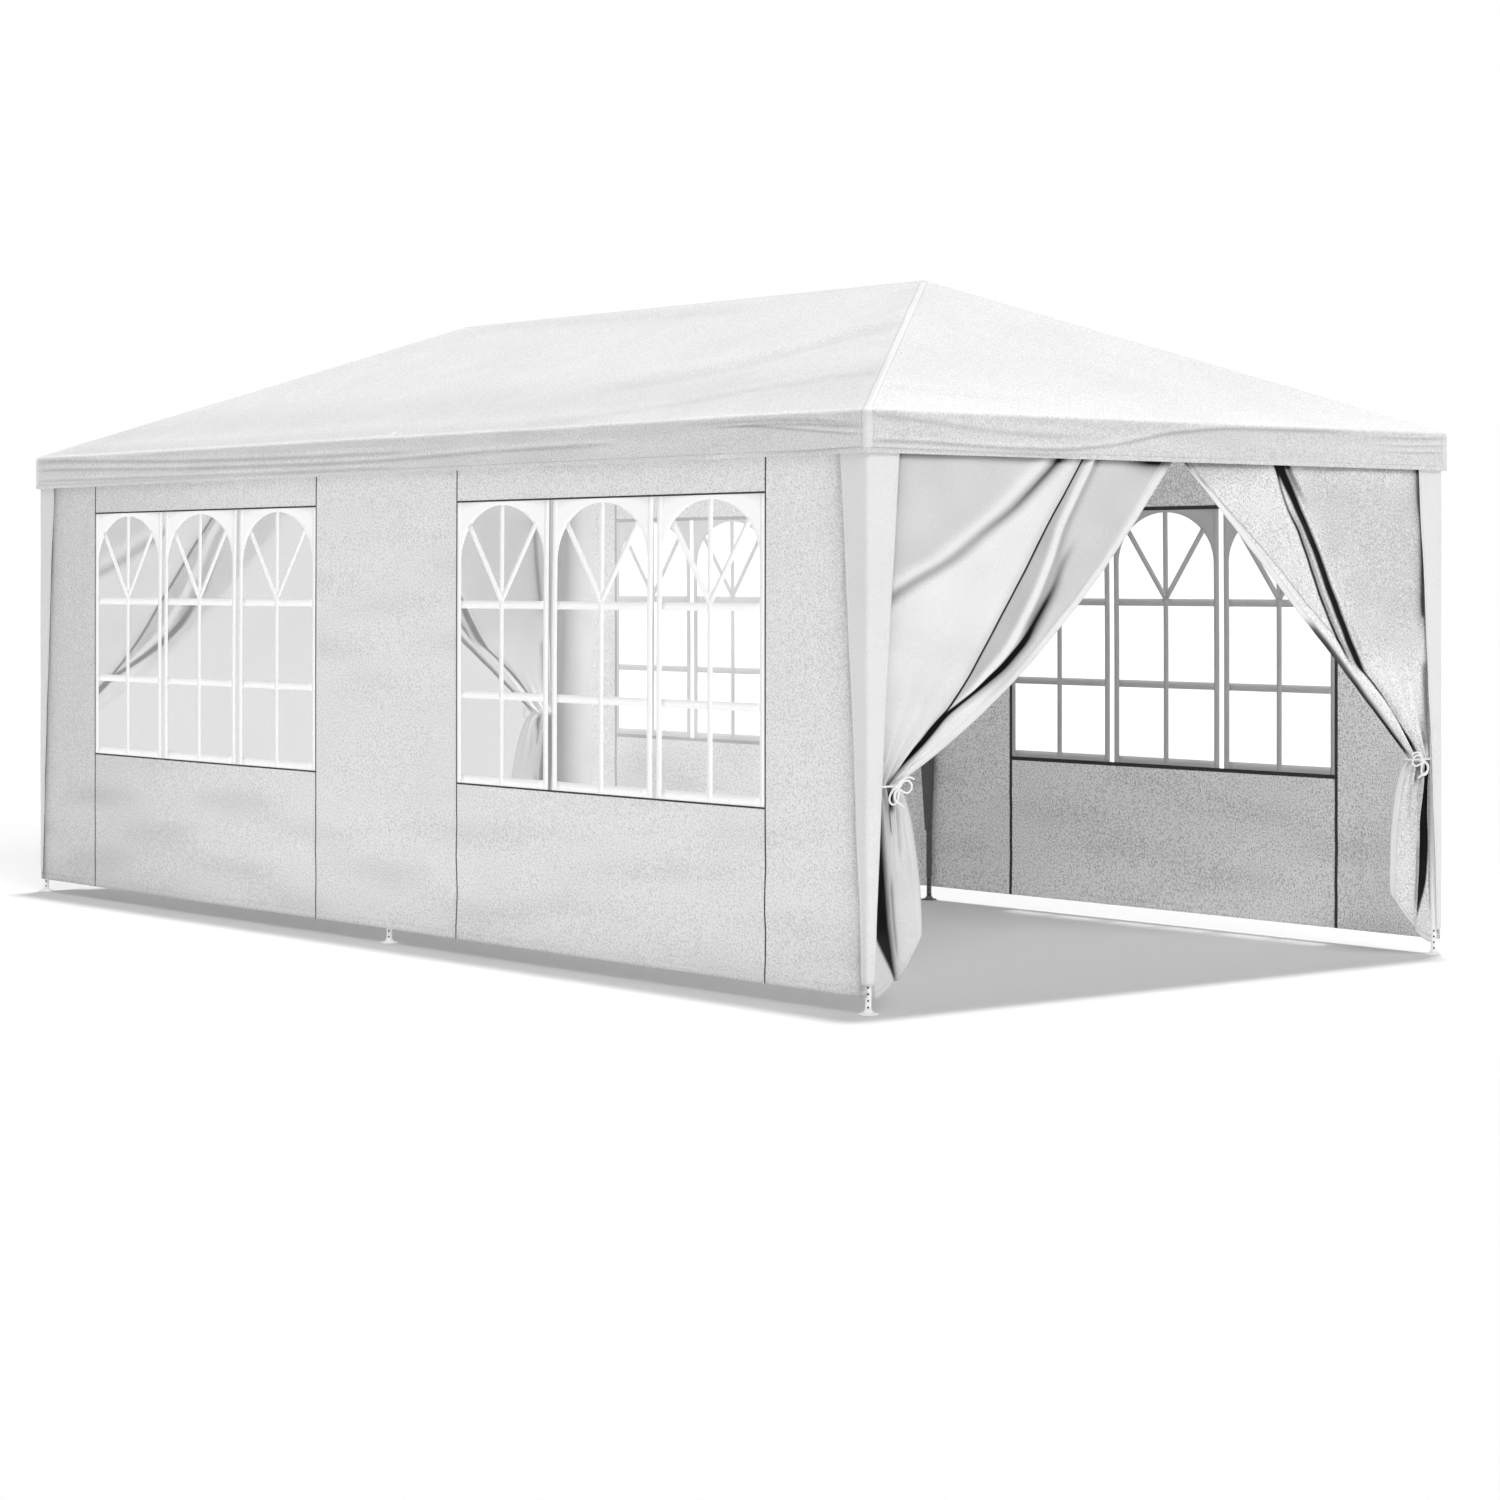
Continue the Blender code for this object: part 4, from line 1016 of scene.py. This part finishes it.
PLEATS, PLEAT_LOW, PLEAT_RISE, PLEAT_LOSS = 6.5, 0.00765, 0.01105, 0.0034
FOLD_THICK, FOOT_FOLD_THICK = 0.0026, 0.0024
# Fold lines as (drop from the rail to the waist, share of the width from the leg side)
CURTAIN_LINES = {
    "left": {
        "leg": [(0.0, 0.0), (1.0, 0.0)],
        "soft": [(0.0, 0.673), (0.076, 0.62), (0.215, 0.523), (0.358, 0.35), (0.493, 0.085),
                 (0.55, -0.03)],
        "crisp": [(0.0, 0.70), (0.079, 0.686), (0.261, 0.667), (0.473, 0.669), (0.643, 0.693),
                  (0.759, 0.698), (0.82, 0.66)],
        "roll": [(0.088, 0.717), (0.229, 0.718), (0.403, 0.772), (0.559, 0.813), (0.689, 0.781),
                 (0.765, 0.712)],
        "deep": [(0.329, 0.812), (0.385, 0.843), (0.449, 0.855), (0.528, 0.88), (0.607, 0.866),
                 (0.672, 0.822), (0.777, 0.71), (0.869, 0.69), (0.971, 0.62)],
        "free": [(0.0, 0.97), (1.0, 0.97)]},
    "right": {
        "leg": [(0.0, 0.0), (1.0, 0.0)],
        "deep": [(0.093, 0.645), (0.22, 0.641), (0.368, 0.660), (0.517, 0.70), (0.65, 0.77),
                 (0.717, 0.80), (0.82, 0.70), (0.953, 0.62)],
        "thin": [(0.0, 0.63), (0.1, 0.652), (0.208, 0.685), (0.297, 0.70), (0.439, 0.75),
                 (0.53, 0.79), (0.623, 0.85), (0.70, 0.88)],
        "turned": [(0.05, 1.0), (0.097, 0.993), (0.231, 0.965), (0.374, 0.93), (0.504, 0.90),
                   (0.623, 0.86), (0.70, 0.82)],
        "free": [(0.0, 0.97), (1.0, 0.97)],
        "edge": [(0.0, 1.0), (1.0, 1.0)]}}
# Folds along them: line, first and last drop, fade, then in metres how far towards the free side,
# half width and height; then how dark its painted shade is, below 0 a painted highlight
CURTAIN_FOLDS = {
    "left": [
        ("soft", 0.00, 0.12, 0.22, 0.000, 0.014, -0.005, 0.38),
        ("soft", 0.00, 0.52, 0.10, -0.010, 0.041, -0.005, 0.50),
        ("soft", 0.12, 0.50, 0.15, -0.075, 0.040, 0.006, -0.13),
        ("soft", 0.00, 0.40, 0.20, 0.046, 0.030, 0.003, -0.03),
        ("crisp", 0.02, 0.80, 0.05, 0.000, 0.0064, -0.003, 0.84),
        ("crisp", 0.02, 0.80, 0.05, -0.014, 0.018, 0.002, 0.16),
        ("crisp", 0.06, 0.72, 0.10, 0.020, 0.020, -0.004, 0.00),
        ("roll", 0.00, 0.72, 0.06, 0.000, 0.019, 0.009, -0.28),
        ("roll", 0.10, 0.46, 0.10, 0.034, 0.020, -0.004, 0.24),
        ("deep", 0.35, 0.60, 0.10, 0.000, 0.018, -0.005, 0.44),
        ("deep", 0.58, 0.98, 0.10, 0.000, 0.0145, -0.007, 0.98),
        ("deep", 0.44, 0.90, 0.10, 0.004, 0.028, -0.004, 0.34),
        ("deep", 0.50, 0.97, 0.10, 0.042, 0.020, 0.006, -0.08)],
    "right": [
        ("deep", 0.00, 0.70, 0.04, 0.000, 0.0225, -0.004, 0.98),
        ("deep", 0.00, 0.72, 0.05, -0.031, 0.007, 0.004, -0.18),
        ("deep", 0.00, 0.14, 0.10, -0.038, 0.032, 0.002, 0.62),
        ("deep", 0.72, 0.97, 0.05, 0.000, 0.010, -0.004, 0.92),
        ("deep", 0.74, 0.97, 0.05, 0.028, 0.014, 0.006, -0.06),
        ("deep", 0.60, 0.90, 0.10, -0.030, 0.022, -0.003, 0.18),
        ("thin", 0.05, 0.66, 0.06, 0.000, 0.0080, -0.003, 0.72),
        ("thin", 0.30, 0.66, 0.10, -0.014, 0.014, 0.002, 0.45),
        ("thin", 0.05, 0.60, 0.06, 0.022, 0.014, 0.004, -0.02),
        ("turned", 0.10, 0.62, 0.06, 0.000, 0.0050, -0.002, 0.48),
        ("turned", 0.10, 0.62, 0.08, 0.024, 0.018, 0.004, -0.06),
        ("edge", 0.60, 0.97, 0.05, -0.010, 0.026, 0.000, 0.93)]}
# Whole bands of painted shade, from one line to another: first and last drop, fade, how far in
# metres they take to darken from either line, and how dark they are
CURTAIN_BANDS = {
    "left": [("leg", "soft", 0.00, 0.50, 0.10, 0.010, 0.170, 0.21),
             ("leg", "crisp", 0.60, 0.98, 0.15, 0.010, 0.050, 0.06),
             ("crisp", "roll", 0.00, 0.80, 0.08, 0.003, 0.034, 0.38),
             ("roll", "free", 0.00, 0.62, 0.12, 0.020, 0.012, 0.22)],
    "right": [("leg", "deep", 0.00, 0.62, 0.12, 0.006, 0.010, 0.15),
              ("leg", "deep", 0.22, 0.52, 0.12, 0.010, 0.200, 0.08),
              ("deep", "turned", 0.00, 0.70, 0.06, 0.004, 0.010, 0.07)]}
# The tail's front panel starts here: (drop from the waist to the hem, share of the width)
TAIL_FOLD = [(0.0, 0.26), (0.12, 0.25), (0.37, 0.31), (0.69, 0.34), (1.0, 0.43)]
TAIL_HOLLOW = [(0.0, 0.002), (0.08, 0.008), (0.30, 0.014), (0.70, 0.014), (1.0, 0.006)]
# Folds down the panel: first and last drop, fade, metres from the panel's edge, half width and
# height, and how dark its painted shade is
TAIL_FOLDS = [(0.01, 0.11, 0.04, 0.046, 0.0080, -0.008, 0.85),
              (0.05, 0.22, 0.05, 0.030, 0.0040, -0.004, 0.65),
              (0.18, 0.34, 0.08, 0.066, 0.0090, -0.004, 0.22),
              (0.55, 0.80, 0.12, 0.014, 0.0080, -0.004, 0.36)]
# A fold painted darker than this has a flat black bottom
FLAT_BOTTOMED = 0.6


def folded(pattern, v, p, wide):
    """Relief and painted shade of the folds: each is exp(-d d) across its line, or where it is deep
    enough to be painted black exp(-d d d d), drawn in where the cloth is narrow, and fades out at its
    two ends. Then the painted bands of shade between lines."""
    lines = CURTAIN_LINES[pattern]
    tight = np.clip(wide / 0.6, 0.25, 1)
    relief, tone = np.zeros_like(p), np.ones_like(p)
    across = {name: (p - along_line(line, v, 0.04)) * wide for name, line in lines.items()}
    for name, first, last, fade, offset, width, height, dark in CURTAIN_FOLDS[pattern]:
        d = (across[name] - offset * tight ** 0.6) / (width * tight ** 0.3)
        there = lasting(v, first, last, fade)
        relief = relief + height * there * bell(d)
        tone = tone - dark * there * bell(d * d if dark > FLAT_BOTTOMED else d)
    for start, end, first, last, fade, soften_start, soften_end, dark in CURTAIN_BANDS[pattern]:
        tone = tone - (dark * lasting(v, first, last, fade) * ease(across[start], 0, soften_start)
                       * ease(-across[end], 0, soften_end))
    return relief, tone


def tail_folded(w, p, wide):
    """Below the tie: a hollow next to the leg, painted dark as shade, then the edge of the front panel
    standing proud and the panel's own gentle bulge and folds; painted shade darkens the panel
    towards the hollow and in its folds."""
    across = (p - along_line(TAIL_FOLD, w, 0.03)) * wide
    hollow = np.interp(w, *np.array(TAIL_HOLLOW).T)
    inside = 0.5 - 0.5 * np.tanh(across / 0.0020)
    panel = 0.006 * np.exp(-np.maximum(across, 0) / 0.030) + 0.005 * np.sin(np.pi * np.clip(p, 0, 1))
    reach = 0.080 * (1 - ease(w, 0.62, 1.06))
    deep = 0.998 * ease(across + reach, -0.010, 0.006)
    cloth = 0.14 + 0.26 * np.exp(-np.maximum(across, 0) / 0.030)
    relief = (1 - inside) * panel - inside * hollow
    tone = 1 - np.maximum(inside * deep, cloth * (1 - inside) + 0.2 * inside)
    for first, last, fade, offset, width, height, dark in TAIL_FOLDS:
        shape = bell((across - offset) / width) * lasting(w, first, last, fade)
        relief, tone = relief + height * shape, tone - dark * shape
    return ease(w, 0.0, 0.08) * relief, 1 + ease(w, -0.02, 0.03) * (tone - 1)


def edge_shade(pattern, x, z):
    """Shade where the curtain passes under the leg cover's edge and under the valance."""
    by_cover = x - (cover_width(z) - LEG_X - COVER_EDGE)
    under = VALANCE_HEM - z
    if pattern == "left":
        return ((0.24 * bell(by_cover / 0.010) + 0.12 * bell(by_cover / 0.045))
                * lasting(z, 0.80, 1.95, 0.1)
                + 0.45 * bell(under / 0.014) + 0.50 * bell(under / 0.035) * ease(x, -0.30, -0.10))
    return (0.50 * bell(by_cover / 0.012) * lasting(z, 1.335, 2.0, 0.02)
            + 0.22 * bell(by_cover / 0.040) * lasting(z, 1.335, 2.0, 0.10)
            + 0.60 * bell(by_cover / 0.020) * lasting(z, 0.84, 1.12, 0.05)
            + 0.40 * bell(under / 0.014) + 0.24 * bell(under / 0.060) * ease(x, -0.60, -0.30))


def curtain_grid(pattern):
    """The curtain at the front left: rows fall from the rail to the waist, drop 0 to 1, and on to
    the hem, 2; columns run from the leg side to the free side.

    The free side is a curve (1-v)(1-v) M + 2 v (1-v) Q + v v W from the rail's middle M to the
    waist W, drawn towards Q; a point is a share p of the way to it from the leg side. The folds,
    and near the waist the pleats, push it in and out. It returns points, UV and tone: painted
    shade in the folds, pleats and under the cover's edge and the valance, and painted highlights."""
    drop = np.concatenate([np.linspace(0, 1, DROP_ROWS + 1) ** 0.9,
                           1 + np.linspace(0, 1, TAIL_ROWS + 1)[1:]])
    v, w = np.clip(drop, 0, 1)[:, None], np.clip(drop - 1, 0, 1)[:, None]
    pull, tail_free = SWOOP_PULL[pattern], TAIL_FREE_SIDE[pattern]
    above = w == 0
    leg_x = np.where(above, CURTAIN_LEG_SIDE + (WAIST_LEG_SIDE - CURTAIN_LEG_SIDE) * v,
                     WAIST_LEG_SIDE + (TAIL_LEG_SIDE[0] - WAIST_LEG_SIDE) * w)
    leg_z = np.where(above, CURTAIN_TOP + (WAIST_TOP - CURTAIN_TOP) * v,
                     WAIST_LOW + (TAIL_LEG_SIDE[1] - WAIST_LOW) * w)
    a, b, c = (1 - v) ** 2, 2 * v * (1 - v), v * v
    spread = np.sin(w * np.pi / 2) ** 0.45
    free_x = np.where(above, a * CURTAIN_MIDDLE[pattern] + b * pull[0] + c * WAIST_FREE_SIDE,
                      WAIST_FREE_SIDE + (tail_free[0] - WAIST_FREE_SIDE) * spread)
    free_z = np.where(above, a * CURTAIN_TOP + b * pull[1] + c * WAIST_TOP,
                      WAIST_LOW + (tail_free[1] - WAIST_LOW) * w)
    plane = np.where(above, HANG_PLANE + (WAIST_PLANE - HANG_PLANE) * v ** 3,
                     WAIST_PLANE + (HEM_PLANE - WAIST_PLANE) * w)
    wide = np.hypot(free_x - leg_x, free_z - leg_z)
    fine = np.linspace(0, 1, 1001)
    crowd = np.cumsum(1 + 4 * lasting(fine, 0.58, 0.80, 0.04) + 2 * ease(fine, 0.84, 0.90))
    share = np.interp(np.linspace(0, 1, CURTAIN_COLUMNS + 1),
                      (crowd - crowd[0]) / (crowd[-1] - crowd[0]), fine)
    hem = np.minimum(CURTAIN_HEM / wide, 0.3)
    p = np.concatenate([share[None, :] * (1 - hem), 1 - hem * np.array([0.66, 0.33, 0.0])[None, :]], 1)
    relief, tone = folded(pattern, v, p, wide)
    tail_relief, tail_tone = tail_folded(w, p, wide)
    relief, tone = np.where(above, relief, tail_relief), np.where(above, tone, tail_tone)
    gathered = np.where(above, v ** 7, (1 - w) ** 4)
    swing = np.cos(2 * np.pi * PLEATS * p + 1.2)
    pleat = (PLEAT_LOW + PLEAT_RISE * np.sin(np.pi * p) - PLEAT_LOSS * p) * gathered * swing
    x = leg_x + (free_x - leg_x) * p
    z = leg_z + (free_z - leg_z) * (p + (p ** 1.5 - p) * w)
    spot = at(x, 3.0, z)
    seed = 51 if pattern == "left" else 52
    soft = 0.0030 * ripples(spot, 0.34, seed) + 0.0010 * ripples(spot, 0.12, seed + 4)
    lap = CURTAIN_LAP[pattern] * ease(x, -0.16, -0.05)
    out = (relief * ease(1 - gathered, 0, 0.5) + pleat + soft * ease(wide, 0.08, 0.5))
    out = out * ease(drop[:, None], 0, 0.03) + lap
    out = np.maximum(out, -0.003 - 0.06 * ease(-z, -1.99, -1.90))
    past_cover = x - (cover_width(z) - LEG_X - COVER_EDGE)
    room = 0.0016 + plane - HANG_PLANE + 0.0145 * ease(past_cover, 0.002, 0.036)
    out = np.minimum(out, room)
    # Painted shade: under the cover's edge and the valance, and in the pleats' hollows.
    tone = (tone - edge_shade(pattern, x, z) - 0.22 * gathered * (0.5 - 0.5 * swing)
            - 0.020 * ripples(spot, 0.20, seed + 6))
    uv = at(p * CURTAIN_WIDE, -drop[:, None] * DROP_LONG)
    return at(x, plane - out, z), uv, np.clip(tone, 0.004, 1.03)


soft_weave = {"roughness": 0.6, "relief": 0.2, "tape": 0.0026, "shine": 0.12}
curtain_cloths = {side: cloth_finish(f"{side}_curtain_cloth", CURTAIN_WHITE, grain=grain, **soft_weave)
                  for side, grain in (("left", 0.05), ("right", 0.34))}
# The curtains' inner faces glow: painted light for light that comes through the cloth.
curtain_inner_face_painted_glow = cloth_finish("curtain_inner_face_painted_glow", CURTAIN_WHITE, grain=0.05, glow=0.55, **soft_weave)
curtain_hem_cloth = cloth_finish("curtain_hem", (0.97, 0.97, 0.968), grain=0.03, **soft_weave)
for place, sx, sy in CORNERS:
    end, side = place.split("_")
    points, uv, tone = curtain_grid(side)
    points = points * np.array([-sx, -sy, 1])
    made = []
    for name, part, cloth, thick in (("door_curtain", np.s_[:, :], curtain_cloths[side], CLOTH_THICK),
                                     ("door_curtain_hem", np.s_[:, -4:], curtain_hem_cloth, FOLD_THICK),
                                     ("door_curtain_foot", np.s_[-3:, :], curtain_hem_cloth,
                                      FOOT_FOLD_THICK)):
        piece = mesh_piece(f"{name}_{place}", [(points[part], uv[part], tone[part])],
                           [cloth, curtain_inner_face_painted_glow], (0, sy, 0), thick)
        made.append(piece)
        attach(piece, "tent")
    curtain, *hems = made
    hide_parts(f"curtain_{place}")


# Leg covers. A strip of wall cloth, folded round the outside of each corner leg, wide under the
# valance and narrow at the foot, with a narrow turned hem down both edges.
COVER_OUT = 0.0226
COVER_FOLD = 0.012
COVER_TURN = 0.010


def cover_grid(sx, sy, seed):
    """An L round the leg: two arms of width w(z) and a quarter circle between them, at a constant
    distance outside the leg, with a slow wave out of its plane; the long side is painted a little
    greyer, as shade."""
    z = ruled([COVER_BOTTOM, COVER_BOTTOM + 0.02, COVER_TOP], 0.03)[:, None]
    wide = cover_width(z)
    far = COVER_EDGE - wide
    near = COVER_OUT - COVER_FOLD
    share = np.linspace(0, 1, 9)
    arm = np.concatenate([far + COVER_TURN * np.array([[0, 0.5]]),
                          (far + COVER_TURN) + (near - far - COVER_TURN) * share], 1)
    turn = np.linspace(0, np.pi / 2, 9)[1:-1]
    ones = np.ones_like(z)
    a = np.concatenate([arm, near + COVER_FOLD * np.sin(turn) * ones, COVER_OUT * np.ones_like(arm)], 1)
    b = np.concatenate([COVER_OUT * np.ones_like(arm), near + COVER_FOLD * np.cos(turn) * ones,
                        arm[:, ::-1]], 1)
    look_a = np.concatenate([0 * arm, np.sin(turn) * ones, 1 + 0 * arm], 1)
    look_b = np.concatenate([1 + 0 * arm, np.cos(turn) * ones, 0 * arm], 1)
    spot = at(a, b, z) + seed
    wave = 0.0014 + 0.0011 * ripples(spot, 0.30, 61) + 0.0006 * ripples(spot, 0.09, 62)
    wave = np.clip(wave, 0, 0.005)
    points = at(sx * (LEG_X + a + wave * look_a), sy * (LEG_Y + b + wave * look_b), z)
    return points, at(a - b, z), 1 - 0.06 * look_a, at(sx * look_a, sy * look_b, 0)


cover_cloth = cloth_finish("cover_cloth", (0.92, 0.92, 0.918), 0.6, grain=0.05, relief=0.3)
for place, sx, sy in CORNERS:
    points, uv, tone, look = cover_grid(sx, sy, 7 * sx + 3 * sy)
    cover = mesh_piece(f"corner_cover_{place}", [(points, uv, tone)], [cover_cloth], look, CLOTH_THICK)
    edges = (np.s_[:, :3], np.s_[:, -3:])
    hems = mesh_piece(f"corner_cover_hems_{place}",
                      [(points[edge], uv[edge], tone[edge]) for edge in edges], [cover_cloth],
                      [look[edge] for edge in edges], HEM_THICK)
    for piece in (cover, hems):
        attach(piece, "tent")
    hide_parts(f"leg_cover_{place}")


# Leg sleeves. Each middle leg has a three-sided sleeve of lining cloth on its room side, painted
# dark on the right as shade, wide at the eave and drawn in to the tube at the bottom, its long
# edges caught to the wall.
SLEEVE_BOTTOM, SLEEVE_TOP = 0.320, 2.000
SLEEVE_HALF = (0.0150, 0.0835)
SLEEVE_REACH = (0.0150, 0.0935)
SLEEVE_HOLD = (0.0035, 0.0175)
SLEEVE_ROUND = 0.006


def sleeve_grid(sx):
    """A U round the leg: along one side, round a small quarter circle, across the room side, and
    back; its half width, reach and edge grow evenly from the bottom to the top."""
    z = np.linspace(SLEEVE_BOTTOM, SLEEVE_TOP, 49)[:, None]
    t = (z - SLEEVE_BOTTOM) / (SLEEVE_TOP - SLEEVE_BOTTOM)
    half, reach, hold = (low + (high - low) * t
                         for low, high in (SLEEVE_HALF, SLEEVE_REACH, SLEEVE_HOLD))
    run = np.linspace(0, 1, 9)
    turn = np.linspace(0, np.pi / 2, 7)[1:-1]
    r = SLEEVE_ROUND
    side_a = hold + (-(reach - r) - hold) * run
    bend_a = -(reach - r) - r * np.sin(turn)
    face_b = (r - half) * (1 - 2 * run)
    a = np.concatenate([side_a, bend_a, -reach + 0 * face_b, bend_a[:, ::-1], side_a[:, ::-1]], 1)
    b = np.concatenate([-half + 0 * side_a, r - half - r * np.cos(turn), face_b,
                        (half - r + r * np.cos(turn))[:, ::-1], half + 0 * side_a], 1)
    slack = np.clip(1 + 0.035 * ripples(at(a, b, z), 0.4, 71) * ease(t, 0.05, 0.4), 0.94, 1.03)
    a, b = np.where(a < 0, a * slack, a), b * slack
    girth = np.cumsum(np.hypot(np.gradient(a, axis=1), np.gradient(b, axis=1)), 1)
    return at(sx * (LEG_X + a), b, z), at(girth, z), at(sx * a, b, 0)


sleeve_painted_shade = cloth_finish("sleeve_cloth_painted_shade", (0.13, 0.13, 0.132), 0.6, grain=0.06, relief=0.4)
for side, sx in SIDES.items():
    points, uv, look = sleeve_grid(sx)
    sleeve = mesh_piece(f"middle_sleeve_{side}", [(points, uv)],
                        [sleeve_painted_shade if side == "right" else wall_inside_painted_light], look, CLOTH_THICK)
    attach(sleeve, "tent")
    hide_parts(f"leg_sleeve_{side}")
